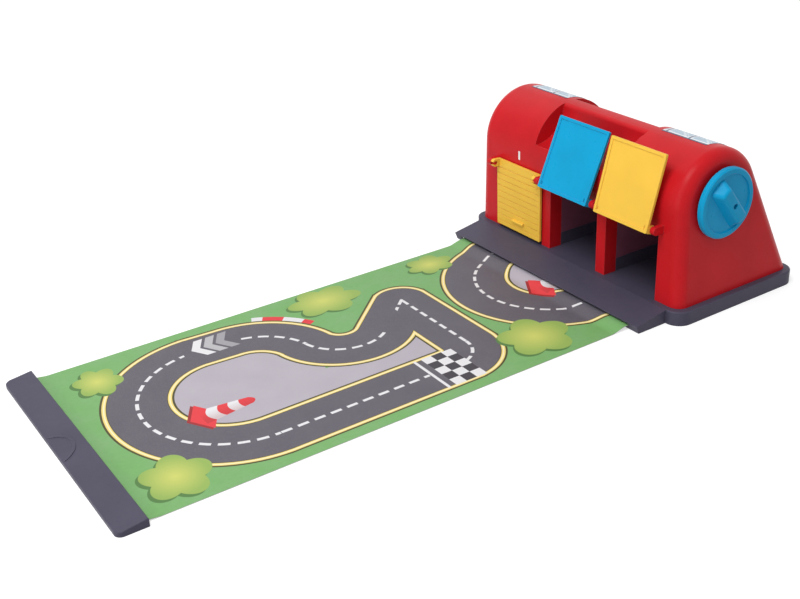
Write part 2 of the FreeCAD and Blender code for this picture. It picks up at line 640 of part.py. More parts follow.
def make_housing():
    """The red housing."""
    outer = housing_block("housing_outer", "0")
    shell = cut("housing_shell", outer, housing_block("housing_inner", "housing_wall"))
    walls = [scoop(f"scoop_outside_{which}", which, "housing_wall") for which in SCOOPS]
    form = cut("housing_scooped", outer, *[scoop(f"scoop_{which}", which, "0") for which in SCOOPS])
    form = rounded("housing_form", form, "scoop_edge_round", on_handle_front)
    skin = common("housing_skin", fuse("housing_walls", shell, *walls), form)
    added = []
    for bay in BAYS:
        added.append(box(
            f"door_frame_{bay + 1}", "bay_width + 2 * housing_wall", "housing_wall + jamb_depth - 1",
            "bay_top + housing_wall - base_height", f"{bay_x(bay)} - bay_width / 2 - housing_wall",
            f"{WALL} + 1", "base_height",
        ))
    for number, (x, y) in enumerate(HOUSING_SCREWS):
        radius = "post_width / 2 - housing_wall + 0.2" if number < 2 else "boss_radius"
        added.append(cylinder(f"housing_boss_{number}", radius, "boss_height", x, y, "base_height"))
    for number, (x, y) in enumerate(HOUSING_SCREWS[2:]):
        start = x if number > 1 else f"-{HOUSING_LENGTH} / 2 + housing_wall / 2"
        added.append(box(
            f"boss_web_{number}", "end_boss_inset - housing_wall / 2", "web_wall",
            "boss_height - end_boss_inset * tan(end_lean)", start, f"{y} - web_wall / 2", "base_height",
        ))
    reach = "(ear_gap + claw_width - pin_clear)"
    for bay in BAYS:
        for side in SIDES:
            tag = f"{bay + 1}_{side + 1}"
            near = f"({bay_x(bay)} + {side} * ({DOOR_WIDTH} / 2 + ear_gap))"
            x = near if side > 0 else f"({near} - ear_width)"
            added.append(rod(f"ear_nose_{tag}", "ear_radius", "ear_width", x, HINGE_Y, HINGE_Z))
            added.append(box(
                f"ear_{tag}", "ear_width", "hinge_offset + housing_wall / 2", "2 * ear_radius", x, HINGE_Y,
                f"{HINGE_Z} - ear_radius",
            ))
            start = f"{near} - {reach}" if side > 0 else x
            added.append(rod(f"hinge_pin_{tag}", "pin_radius", f"ear_width + {reach}", start, HINGE_Y,
                             HINGE_Z))
    wall = end_wall(AXLE_Z)
    length = f"{wall} - housing_wall / 2 - {BEARING}"
    added.append(rod("shaft_bearing", "shaft_radius + bearing_wall", length, BEARING, AXLE_Y, AXLE_Z))
    start = f"-{wall} + housing_wall / 2"
    added.append(rod("idler_bearing", "idler_radius + bearing_wall", length, start, AXLE_Y, AXLE_Z))
    added.append(back_box("panel_ledge", f"{PANEL_WIDTH} + 3", "panel_top - 1.5", f"{PANEL_LENGTH} + 3",
                          "-housing_wall - panel_ledge_wall", "panel_ledge_wall + 0.1"))
    for number, (x, down) in enumerate(PANEL_SCREWS):
        added.append(back_cylinder(f"panel_boss_{number}", "boss_radius", "panel_screw_length", x, down,
                                   "-housing_wall - 0.5 - panel_screw_length"))
    solid = fuse("housing_solid", skin, *added)
    cuts = []
    for bay in BAYS:
        cuts.append(box(
            f"doorway_{bay + 1}", "bay_width", "jamb_depth + housing_wall + 20",
            "bay_top - base_height + 10", f"{bay_x(bay)} - bay_width / 2", f"{WALL} - 10",
            "base_height - 10",
        ))
    tapped = "screw_radius + press_gap"
    for number, (x, y) in enumerate(HOUSING_SCREWS):
        cuts.append(cylinder(f"housing_boss_hole_{number}", tapped, "housing_screw_length + 2", x, y,
                             "base_height - deck_wall"))
    radius = "shaft_radius + running_gap"
    cuts.append(rod("shaft_hole", radius, f"{length} + 20", f"{BEARING} - 5", AXLE_Y, AXLE_Z))
    start = f"-{wall} + 1.5 * housing_wall"
    cuts.append(rod("idler_hole", "idler_radius + running_gap", f"{length} + 1", start, AXLE_Y, AXLE_Z))
    cuts.append(back_box("panel_seat", PANEL_WIDTH, "panel_top", PANEL_LENGTH, "-housing_wall", "20"))
    cuts.append(back_box("panel_window", f"{PANEL_WIDTH} - 2 * panel_ledge", "panel_top + panel_ledge",
                         f"{PANEL_LENGTH} - 2 * panel_ledge", "-housing_wall - 10", "20"))
    for number, (x, down) in enumerate(PANEL_SCREWS):
        cuts.append(back_cylinder(f"panel_boss_hole_{number}", tapped, "panel_screw_length", x, down,
                                  "-housing_wall - panel_screw_length + 0.6"))
    node(cut("housing", solid, *cuts), "housing")


def make_rear_cover():
    """The screwed-on panel in the sloping back, with its screws."""
    panel = back_box("panel", f"{PANEL_WIDTH} - 2 * cover_gap", "panel_top + cover_gap",
                     f"{PANEL_LENGTH} - 2 * cover_gap", "-housing_wall", "housing_wall")
    cuts = []
    for number in range(5):
        down = f"panel_top + panel_groove_margin + {number} * ({PANEL_LENGTH} - 2 * panel_groove_margin) / 4"
        cuts.append(back_box(f"panel_groove_{number}", f"{PANEL_WIDTH} - 2 * panel_groove_side", down,
                             "panel_groove_width", "-panel_groove", "2"))
    made = []
    for number, (x, down) in enumerate(PANEL_SCREWS):
        cuts.append(back_cylinder(f"panel_hole_{number}", "screw_radius + screw_gap", "2 * housing_wall",
                                  x, down, "-housing_wall - 1"))
        cuts.append(back_cylinder(f"panel_recess_{number}", "screw_head + screw_gap", "housing_wall",
                                  x, down, "-screw_head_height"))
        fastener = screw(f"panel_screw_{number}", "panel_screw_length - screw_head_height")
        made.append(on_back(fastener, x, down, "-screw_head_height", "back_lean + 90"))
    node(cut("rear_cover", panel, *cuts), "rear_cover")
    node(group("rear_cover_screws", made), "rear_cover_screws")


def make_liner():
    """The three-bay liner behind the doorways, with side walls, ceiling and sloping back. It stands on the
    low walls."""
    slope = f"(({ROLLER_Y} - {AXLE_Y}) / ({AXLE_Z} - {ROLLER_Z}))"
    outer = side_prism("liner_block", [
        (BAY_BACK, CURB_TOP), (f"{BAY_BACK} - ({LINER_TOP} - {CURB_TOP}) * {slope}", LINER_TOP),
        (FRAME_BACK, LINER_TOP), (FRAME_BACK, CURB_TOP),
    ], "2 * post_width + 3 * bay_width + 2 * liner_wall", bay_x(0))
    ceiling = f"({LINER_TOP} - liner_wall)"
    back = f"({BAY_BACK} - liner_wall * sqrt(1 + {slope} ^ 2))"
    hollow = [
        (f"{back} + 5 * {slope}", f"{CURB_TOP} - 5"),
        (f"{back} - ({ceiling} - {CURB_TOP}) * {slope}", ceiling),
        (f"{FRAME_BACK} - 5", ceiling), (f"{FRAME_BACK} - 5", f"{CURB_TOP} - 5"),
    ]
    cuts = [side_prism(f"bay_{bay + 1}", hollow, "bay_width", bay_x(bay)) for bay in BAYS]
    for side in SIDES:
        gap = "post_width - 2 * liner_wall"
        cuts.append(side_prism(f"wall_gap_{side + 1}", hollow, gap, bay_x(side / 2)))
    node(cut("garage_liner", outer, *cuts), "garage_liner")


def make_door(name, bay, angle):
    """A door leaf, drawn shut round its own hinge line and then swung up by an angle."""
    front = f"({LEAF_BACK} - door_wall)"
    height = f"(leaf_rise - {LEAF_FOOT})"
    leaf = wide_box(name + "_leaf", DOOR_WIDTH, "door_wall", height, front, LEAF_FOOT)
    leaf = rounded(name + "_corners", leaf, "door_corner", lambda edge: (
        abs(edge.Vertexes[0].Point.y - edge.Vertexes[-1].Point.y) > 0.99 * edge.Length))
    cuts = [wide_box(
        name + "_recess", f"{DOOR_WIDTH} - 2 * door_rim", "door_recess + 1", f"{height} - 2 * door_rim",
        f"{LEAF_BACK} - door_recess", f"{LEAF_FOOT} + door_rim",
    )]
    for side in SIDES:
        cuts.append(box(
            f"{name}_pocket_{side + 1}", "pocket_width", "pocket_depth + 1", "pocket_height",
            f"{side} * ({DOOR_WIDTH} / 2 - pocket_side) - pocket_width / 2", f"{LEAF_BACK} - pocket_depth",
            "leaf_rise - pocket_drop - pocket_height / 2",
        ))
    slats = int(size_of("slat_count"))
    highest = "(claw_wall + pin_radius + 2)"
    for number in range(slats + 1):
        up = f"{number} * (-{LEAF_FOOT} - {highest} - slat_margin) / {slats}"
        cuts.append(wide_box(
            f"{name}_groove_{number}", f"{DOOR_WIDTH} - 2 * slat_side", "slat_groove + 1",
            "slat_groove_width", f"{front} - 1", f"{LEAF_FOOT} + slat_margin + {up}",
        ))
    parts = [leaf]
    for side in SIDES:
        x = f"({side} * ({DOOR_WIDTH} - claw_width) / 2 - claw_width / 2)"
        parts.append(rod(f"{name}_claw_{side + 1}", "pin_radius + claw_wall", "claw_width", x))
        parts.append(box(f"{name}_neck_{side + 1}", "claw_width", f"{front} + 0.5", "2 * leaf_rise", x, "0",
                         "-leaf_rise"))
        cuts.append(rod(f"{name}_bore_{side + 1}", "pin_radius + running_gap", "claw_width + 2", f"{x} - 1"))
        cuts.append(box(
            f"{name}_mouth_{side + 1}", "claw_width + 2", "pin_radius + claw_wall + 1", "claw_mouth",
            f"{x} - 1", "-pin_radius - claw_wall - 1", "-claw_mouth / 2",
        ))
    pull_front = f"({front} - pull_rise)"
    pull = wide_box(name + "_pull_block", "pull_width", "pull_rise + 1", "pull_height", pull_front,
                    f"{LEAF_FOOT} + pull_place")
    level = size_of(pull_front)
    parts.append(rounded(name + "_pull", pull, "pull_height * 0.35", lambda edge: lies_at(edge, "y", level)))
    door = cut(name, fuse(name + "_solid", *parts), *cuts)
    place(door, bay_x(bay), HINGE_Y, HINGE_Z, (1, 0, 0), f"-{angle}" if angle else "0")
    node(door, name)


# Spool with its mat roll, shafts and knob, all on one axle along X
def on_axle(name, radius, start, end, bore=None):
    """A disc or tube on the spool's axle, from one X to another."""
    length = f"{end} - ({start})"
    item = rod(name + ("_full" if bore else ""), radius, length, start, AXLE_Y, AXLE_Z)
    if bore is None:
        return item
    return cut(name, item, rod(name + "_bore", bore, f"{length} + 2", f"{start} - 1", AXLE_Y, AXLE_Z))


DISC_START = f"({end_wall(f'({AXLE_Z} - disc_radius)')} + disc_gap)"
KNOB_START = f"({end_wall(f'({AXLE_Z} - knob_radius)')} + disc_gap)"
KNOB_FLOOR = f"({DISC_START} + disc_wall + knob_floor)"


def make_spool():
    """The spool's core, flanges, shafts and the turns of mat that stay on it."""
    end = f"({SPOOL_END} + core_reach)"
    node(on_axle("spool_core", "core_radius", f"-{end}", end, "core_bore"), "spool_core")
    bore = "core_radius + press_gap"
    node(on_axle("spool_flange_right", "flange_radius", SPOOL_END, f"{SPOOL_END} + flange_wall", bore),
         "spool_flange_right")
    node(on_axle("spool_flange_left", "flange_radius", f"-{SPOOL_END} - flange_wall", f"-{SPOOL_END}", bore),
         "spool_flange_left")
    node(on_axle("mat_roll", "roll_radius", "-mat_width / 2", "mat_width / 2", bore), "mat_roll")
    plug = "core_bore - press_gap"
    shaft = fuse(
        "drive_shaft_solid", on_axle("drive_plug", plug, f"{end} - plug_length", end),
        on_axle("drive_neck", "shaft_radius", end, f"{DISC_START} + disc_wall / 2"),
        on_axle("drive_disc", "disc_radius", DISC_START, f"{DISC_START} + disc_wall"),
        *[rod(f"drive_peg_{side + 1}", "peg_radius", "disc_wall / 2 + peg_rise",
              f"{DISC_START} + disc_wall / 2", f"{AXLE_Y} + {side} * peg_place", AXLE_Z) for side in SIDES],
    )
    hole = on_axle("drive_hole", "screw_radius + press_gap", f"{KNOB_FLOOR} - knob_screw_length - 1",
                   KNOB_FLOOR)
    node(cut("drive_shaft", shaft, hole), "drive_shaft")
    stub_end = f"(-{end_wall(AXLE_Z)} + 1.5 * housing_wall + end_play)"
    idler = fuse(
        "idler_axle", on_axle("idler_plug", plug, f"-{end}", f"-{end} + plug_length"),
        on_axle("idler_stub", "idler_radius", stub_end, f"-{end}"),
    )
    node(idler, "idler_axle")


def make_knob():
    """The dished winding knob with its grip bar, and the screw in the bar's crest. The knob is drawn lying
    flat, then stood on the end wall."""
    dish = "knob_wall - knob_dish"
    disc = turned("knob_disc", [
        ("0", "0"), ("knob_radius - 1", "0"), ("knob_radius", "1"),
        ("knob_radius", "knob_wall - knob_bevel"), ("knob_radius - knob_bevel", "knob_wall"),
        ("knob_radius - knob_rim", "knob_wall"), ("knob_radius - knob_rim - knob_dish / 2", dish),
        ("0", dish),
    ])
    half, long = "grip_width / 2", "grip_length / 2"
    grip = bind(
        doc.addObject("Part::Wedge", "grip_block"), Xmin=f"-{half}", Xmax=half, Zmin=f"-{long}", Zmax=long,
        Ymin="0", Ymax="grip_height + 1", X2min=f"grip_draft - {half}", X2max=f"{half} - grip_draft",
        Z2min=f"grip_draft - {long}", Z2max=f"{long} - grip_draft",
    )
    place(grip, z=f"{dish} - 1", axis=(1, 0, 0), angle=90)
    grip = rounded("grip_corners", grip, "grip_corner", lambda edge: (
        abs(edge.Vertexes[0].Point.z - edge.Vertexes[-1].Point.z) > 1))
    crest = size_of(f"{dish} + grip_height")
    grip = rounded("grip", grip, "grip_round", lambda edge: lies_at(edge, "z", crest))
    seat = f"({KNOB_FLOOR} - knob_floor - {KNOB_START} + 0.05)"
    above = "knob_wall + grip_height"
    cuts = [
        cylinder("knob_underside", "disc_radius + cover_gap", seat),
        cylinder("knob_hole", "screw_radius + screw_gap", above),
        cylinder("knob_recess", "screw_head + screw_gap", above, z=f"{KNOB_FLOOR} - {KNOB_START}"),
    ]
    for side in SIDES:
        x = f"{side} * peg_place * cos(grip_angle)"
        y = f"-{side} * peg_place * sin(grip_angle)"
        cuts.append(cylinder(f"peg_hole_{side + 1}", "peg_radius + running_gap",
                             f"{seat} + peg_rise + 0.2", x, y))
    knob = cut("knob", fuse("knob_solid", disc, grip), *cuts)
    stood = FreeCAD.Rotation(FreeCAD.Vector(1, 1, 1), 120)
    knob.Placement = FreeCAD.Placement(
        FreeCAD.Vector(), FreeCAD.Rotation(FreeCAD.Vector(1, 0, 0), size_of("grip_angle")) * stood)
    node(place(knob, KNOB_START, AXLE_Y, AXLE_Z), "knob")
    fastener = screw("knob_fastener", "knob_screw_length")
    node(place(fastener, KNOB_FLOOR, AXLE_Y, AXLE_Z, (0, 1, 0), "-90"), "knob_screw")


def make_roller():
    """The roller that turns the mat up at the back of the base, and its two pins."""
    length = f"(2 * {SLOT} - 1)"
    tube = rod("roller_tube", "roller_radius", length, f"-{length} / 2", ROLLER_Y, ROLLER_Z)
    bore = rod("roller_bore", "roller_pin + running_gap", f"{length} + 2", f"-{length} / 2 - 1", ROLLER_Y,
               ROLLER_Z)
    node(cut("guide_roller", tube, bore), "guide_roller")
    pins = []
    for side in SIDES:
        end = f"({SLOT} + roller_gap + roller_wall)"
        start = f"{end} - pin_length" if side > 0 else f"-{end}"
        pins.append(rod(f"roller_pin_{side + 1}", "roller_pin", "pin_length", start, ROLLER_Y, ROLLER_Z))
    node(group("roller_pins", pins), "roller_pins")


def ribbon(points, thickness):
    """The side view of a flat band that follows points."""
    left, right = [], []
    for number, point in enumerate(points):
        before = points[max(number - 1, 0)]
        after = points[min(number + 1, len(points) - 1)]
        along = (after - before).normalize()
        out = FreeCAD.Vector(0, -along.z, along.y) * (thickness / 2)
        left.append(point + out)
        right.append(point - out)
    return Part.Face(Part.makePolygon(left + right[::-1] + [left[0]]))


def make_mat():
    """The mat from the pull bar along the floor, under the lip, round the roller and up to the spool."""
    thickness = size_of("mat_wall")
    width = size_of("mat_width")
    lying = size_of("mat_seat + mat_wall / 2")
    held = size_of("strip_wall + (mat_seat + mat_wall) / 2")
    raised = size_of(f"{SLOT_FOOT} + mat_seat + mat_wall / 2")
    bar, lip, foot, front = size_of(BAR_Y), size_of(LIP), size_of(LIP_FOOT), size_of(FRONT_EDGE)
    roller = FreeCAD.Vector(0, size_of(ROLLER_Y), size_of(ROLLER_Z))
    axle = FreeCAD.Vector(0, size_of(AXLE_Y), size_of(AXLE_Z))
    bend = roller.z - size_of("mat_channel")
    wound = size_of("roll_radius + (mat_seat + mat_wall) / 2")
    across = axle - roller
    turn = math.atan2(across.z, across.y) - math.acos((bend - wound) / across.Length)
    points = [
        FreeCAD.Vector(0, bar - size_of("clamp_depth"), held), FreeCAD.Vector(0, bar, held),
        FreeCAD.Vector(0, bar + size_of("mat_rise"), lying),
        FreeCAD.Vector(0, lip - size_of("mat_landing"), lying), FreeCAD.Vector(0, lip, raised),
        FreeCAD.Vector(0, foot + size_of("2 * lip_wall"), raised),
        FreeCAD.Vector(0, front, size_of("mat_channel")),
    ]
    steps = 10
    for step in range(steps + 1):
        angle = -math.pi / 2 + (turn + math.pi / 2) * step / steps
        points.append(roller + FreeCAD.Vector(0, math.cos(angle), math.sin(angle)) * bend)
    points.append(axle + FreeCAD.Vector(0, math.cos(turn), math.sin(turn)) * wound)
    item = doc.addObject("Part::Feature", "mat")
    item.Shape = ribbon(points, thickness).extrude(FreeCAD.Vector(width, 0, 0))
    item.Placement = FreeCAD.Placement(FreeCAD.Vector(-width / 2, 0, 0), FreeCAD.Rotation())
    node(item, "mat")


BAR_SCREWS = [
    (f"{step} * ({BAR_LENGTH} / 2 - bar_screw_margin) / 2", f"{BAR_Y} - bar_screw_place")
    for step in range(-2, 3)
]


def make_pull_bar():
    """The wedge-shaped pull bar, the strip that clamps the mat to it, and the strip's screws."""
    wedge = side_prism("bar_wedge", [
        (BAR_Y, "0"), (BAR_Y, "bar_back"), (BAR_OUTER, "bar_front"), (BAR_OUTER, "0"),
    ], BAR_LENGTH)
    outer = size_of(BAR_OUTER)
    wedge = rounded("bar_corners", wedge, "bar_corner", lambda edge: (
        upright(edge) and lies_at(edge, "y", outer)))
    low = size_of("bar_front - 0.5")
    wedge = rounded("bar_round", wedge, "bar_round", lambda edge: edge.BoundBox.ZMin > low)
    nose = f"({BAR_OUTER} + bar_wall + bar_nose)"
    hollow = side_prism("bar_hollow", [
        (f"{BAR_Y} - bar_wall", "-1"), (f"{BAR_Y} - bar_wall", "bar_back - bar_wall"),
        (nose, "bar_front - bar_wall / 2 - 0.5"), (nose, "-1"),
    ], f"{BAR_LENGTH} - 2 * bar_wall")
    over_mat = "(strip_wall + mat_wall + 0.3)"
    slot = wide_box("bar_mat_slot", f"2 * {SLOT}", "bar_wall + 4", over_mat, f"{BAR_Y} - bar_wall - 2")
    arc_y = f"{BAR_OUTER} - grip_arc_shift"
    mark = cut(
        "finger_mark_ring", cylinder("mark_outer", "grip_arc_radius", "bar_back", 0, arc_y, "bar_front"),
        cylinder("mark_inner", "grip_arc_radius - grip_arc_wall", "bar_back + 2", 0, arc_y, "bar_front - 1"),
    )
    slab_back = f"{BAR_Y} - bar_wall"
    slab_front = f"{BAR_OUTER} + bar_wall"
    raised = common("finger_mark", mark, side_prism("finger_mark_slab", [
        (slab_back, "bar_back - 1"), (slab_back, "bar_back + grip_arc_rise - 0.2"),
        (slab_front, "bar_front + grip_arc_rise + 0.2"), (slab_front, "bar_front - 0.5"),
    ], BAR_LENGTH))
    ribs = []
    for step in (-1.5, -0.5, 0.5, 1.5):
        ribs.append(box(
            f"bar_rib_{len(ribs)}", "rib_wall", "clamp_depth - bar_wall",
            f"bar_back - bar_wall / 2 - {over_mat} - 1",
            f"{step} * ({BAR_LENGTH} / 2 - bar_screw_margin) / 2", f"{BAR_Y} - clamp_depth", over_mat,
        ))
    height = "(bar_back + bar_front) / 2 - bar_wall / 2 - strip_wall"
    depth = "clamp_screw_length + screw_head_height + 0.2"
    holes = []
    for number, (x, y) in enumerate(BAR_SCREWS):
        ribs.append(cylinder(f"bar_boss_{number}", "screw_radius * 2.5", height, x, y, "strip_wall + 0.1"))
        holes.append(cylinder(f"bar_boss_hole_{number}", "screw_radius + press_gap", depth, x, y))
    bar = fuse("bar_solid", cut("bar_shell", wedge, hollow, slot), raised, *ribs)
    node(cut("pull_bar", bar, *holes), "pull_bar")
    strip = wide_box(
        "strip_plate", f"{BAR_LENGTH} - 2 * (bar_wall + cover_gap)",
        f"bar_depth - 2 * (bar_wall + cover_gap) - bar_nose", "strip_wall", f"{nose} + cover_gap",
    )
    holes = []
    clear = "screw_radius + screw_gap"
    for number, (x, y) in enumerate(BAR_SCREWS):
        holes.append(cylinder(f"strip_hole_{number}", clear, "strip_wall + 2", x, y, "-1"))
        holes.append(cylinder(f"strip_recess_{number}", "screw_head + screw_gap", "screw_head_height", x, y))
    node(cut("clamp_strip", strip, *holes), "clamp_strip")
    screw_group("clamp_screws", "clamp_screw_length", [(x, y, "screw_head_height") for x, y in BAR_SCREWS])


def make_windows():
    """The two printed window labels that wrap over the roof."""
    for side, name in ((-1, "roof_window_left"), (1, "roof_window_right")):
        x = f"({side} * (window_place + window_length / 2) - window_length / 2)"
        outside = doc.addObject("Part::Cylinder", name + "_outside")
        bind(outside, Radius="arch_radius + window_gap + window_film", Height="window_length",
             Angle="window_sweep")
        along = FreeCAD.Rotation(FreeCAD.Vector(1, 1, 1), 120)
        outside.Placement = FreeCAD.Placement(
            FreeCAD.Vector(), FreeCAD.Rotation(FreeCAD.Vector(1, 0, 0), size_of("window_start")) * along)
        place(outside, x, ARCH_Y, ARCH_Z)
        inside = rod(name + "_inside", "arch_radius + window_gap", "window_length + 2", f"{x} - 1", ARCH_Y,
                     ARCH_Z)
        node(cut(name, outside, inside), name)


make_base()
make_bottom_cover()
make_housing()
make_rear_cover()
make_liner()
make_door("door_1", -1, 0)
make_door("door_2", 0, 203)
make_door("door_3", 1, 196)
make_spool()
make_knob()
make_roller()
make_mat()
make_pull_bar()
make_windows()
doc.recompute()

for item in doc.Objects:
    if {"Invalid", "Error"} & set(item.State):
        raise RuntimeError(f"{item.Name} failed: {item.State}")
for name, item in NODES:
    if item.Shape.isNull() or not item.Shape.isValid():
        raise RuntimeError(f"{name} has no valid shape")

os.makedirs("parts", exist_ok=True)
for name, item in NODES:
    item.Shape.exportStep(f"parts/{name}.step")
    print(f"{name:24s} solids {len(item.Shape.Solids)} volume {item.Shape.Volume / 1000:9.2f} cm3")
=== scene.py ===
"""Looks of the roll-out toy race track: finishes, printed mat, door numbers, studio and camera.

Everything is in metres, in the frame of the CAD model: the origin is the middle of the garage's underside,
+X points to the knob, -Y to the mat and the pull bar, and +Z up. Prints are laid out in millimetres.
"""
from __future__ import annotations

import logging
import math
from dataclasses import dataclass
from enum import Enum
from typing import Iterable, List, Sequence, Tuple, Union

import bmesh
import bpy
from mathutils import Matrix, Vector


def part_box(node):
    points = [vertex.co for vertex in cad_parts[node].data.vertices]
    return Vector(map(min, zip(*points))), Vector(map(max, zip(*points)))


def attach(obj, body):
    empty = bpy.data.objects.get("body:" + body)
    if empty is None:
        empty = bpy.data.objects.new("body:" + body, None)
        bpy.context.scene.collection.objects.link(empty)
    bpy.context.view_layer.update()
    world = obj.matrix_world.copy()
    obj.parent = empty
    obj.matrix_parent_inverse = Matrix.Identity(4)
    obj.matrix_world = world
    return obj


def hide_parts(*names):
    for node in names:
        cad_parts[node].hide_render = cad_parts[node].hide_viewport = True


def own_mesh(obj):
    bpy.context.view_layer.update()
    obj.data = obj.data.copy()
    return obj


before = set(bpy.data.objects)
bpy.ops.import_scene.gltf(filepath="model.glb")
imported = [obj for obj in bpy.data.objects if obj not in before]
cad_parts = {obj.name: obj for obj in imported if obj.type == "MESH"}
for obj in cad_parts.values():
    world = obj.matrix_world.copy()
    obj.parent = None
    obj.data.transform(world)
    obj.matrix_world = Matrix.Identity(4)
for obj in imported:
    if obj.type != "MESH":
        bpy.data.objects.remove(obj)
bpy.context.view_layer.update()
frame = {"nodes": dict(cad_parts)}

log = logging.getLogger("race_track")
Triple = Tuple[float, float, float]
Colour = Triple
Span = Tuple[float, float]
Material = bpy.types.Material
Socket = bpy.types.NodeSocket
Number = Union["Field", float]
Shade = Union[Colour, Socket]

MILLIMETRE = 0.001
SOFT = 0.35


class Body(Enum):
    """The bodies that pieces ride on."""

    GARAGE = "garage"
    BAR = "bar"


class Slot(Enum):
    """Two material slot names: one for the mat's print and one for the window labels."""

    PRINT = "mat_print"
    LABEL = "window_label"


class Blend(Enum):
    """The arithmetic that a Field needs, by the names of the Math node."""

    ADD = "ADD"
    SUBTRACT = "SUBTRACT"
    MULTIPLY = "MULTIPLY"
    DIVIDE = "DIVIDE"
    MULTIPLY_ADD = "MULTIPLY_ADD"
    MINIMUM = "MINIMUM"
    MAXIMUM = "MAXIMUM"
    ABSOLUTE = "ABSOLUTE"
    SQRT = "SQRT"
    COSINE = "COSINE"
    ANGLE = "ARCTAN2"
    FLOOR = "FLOOR"
    REPEAT = "FLOORED_MODULO"


class Field:
    """A number that varies over a surface: an output of a material's nodes, with plain arithmetic."""

    def __init__(self, tree: bpy.types.NodeTree, socket: Socket) -> None:
        """Keeps the tree and the socket.

        Args:
            tree: The node tree that the number lives in.
            socket: The output that carries it.
        """
        self.tree = tree
        self.socket = socket

    def math(self, kind: Blend, *others: Number, clamp: bool = False) -> Field:
        """Adds one Math node.

        Args:
            kind: What the node works out.
            others: The numbers or fields after this one.
            clamp: Whether the result stays between 0 and 1.

        Returns:
            The node's result.
        """
        node = self.tree.nodes.new("ShaderNodeMath")
        node.operation = kind.value
        node.use_clamp = clamp
        for entry, item in zip(node.inputs, (self, *others)):
            if isinstance(item, Field):
                self.tree.links.new(item.socket, entry)
            else:
                entry.default_value = item
        return Field(self.tree, node.outputs[0])

    def __add__(self, other: Number) -> Field:
        """The sum."""
        return self.math(Blend.ADD, other)

    def __sub__(self, other: Number) -> Field:
        """The difference."""
        return self.math(Blend.SUBTRACT, other)

    def __mul__(self, other: Number) -> Field:
        """The product."""
        return self.math(Blend.MULTIPLY, other)

    def __truediv__(self, other: Number) -> Field:
        """The quotient."""
        return self.math(Blend.DIVIDE, other)

    def __and__(self, other: Field) -> Field:
        """Where both masks are."""
        return self.math(Blend.MULTIPLY, other)

    def __or__(self, other: Field) -> Field:
        """Where either mask is."""
        return self.math(Blend.MAXIMUM, other)

    def __invert__(self) -> Field:
        """Where the mask isn't."""
        return self.math(Blend.MULTIPLY_ADD, -1.0, 1.0)

    def size(self) -> Field:
        """The number without its sign."""
        return self.math(Blend.ABSOLUTE)

    def length(self, other: Field) -> Field:
        """The length of the step (self, other)."""
        return (self * self + other * other).math(Blend.SQRT)

    def clamped(self) -> Field:
        """The number, kept between 0 and 1."""
        return self.math(Blend.ADD, 0.0, clamp=True)

    def around(self, middle: float, swing: float) -> Field:
        """A pattern from 0 to 1, made to vary by a swing around a middle value."""
        return (self - 0.5) * swing + middle

    def below(self, edge: float, soft: float = SOFT) -> Field:
        """Where the number is under an edge.

        Args:
            edge: The limit.
            soft: The width over which the mask fades out, in the number's own units.

        Returns:
            A mask from 0 to 1.
        """
        return self.math(Blend.MULTIPLY_ADD, -1.0 / soft, edge / soft + 0.5, clamp=True)

    def above(self, edge: float, soft: float = SOFT) -> Field:
        """Where the number is over an edge.

        Args:
            edge: The limit.
            soft: The width over which the mask fades in, in the number's own units.

        Returns:
            A mask from 0 to 1.
        """
        return self.math(Blend.MULTIPLY_ADD, 1.0 / soft, 0.5 - edge / soft, clamp=True)

    def between(self, low: float, high: float, soft: float = SOFT) -> Field:
        """Where the number lies between two limits.

        Args:
            low: The lower limit.
            high: The upper limit.
            soft: The width of the mask's edges.

        Returns:
            A mask from 0 to 1.
        """
        return (self - (low + high) / 2).size().below((high - low) / 2, soft)


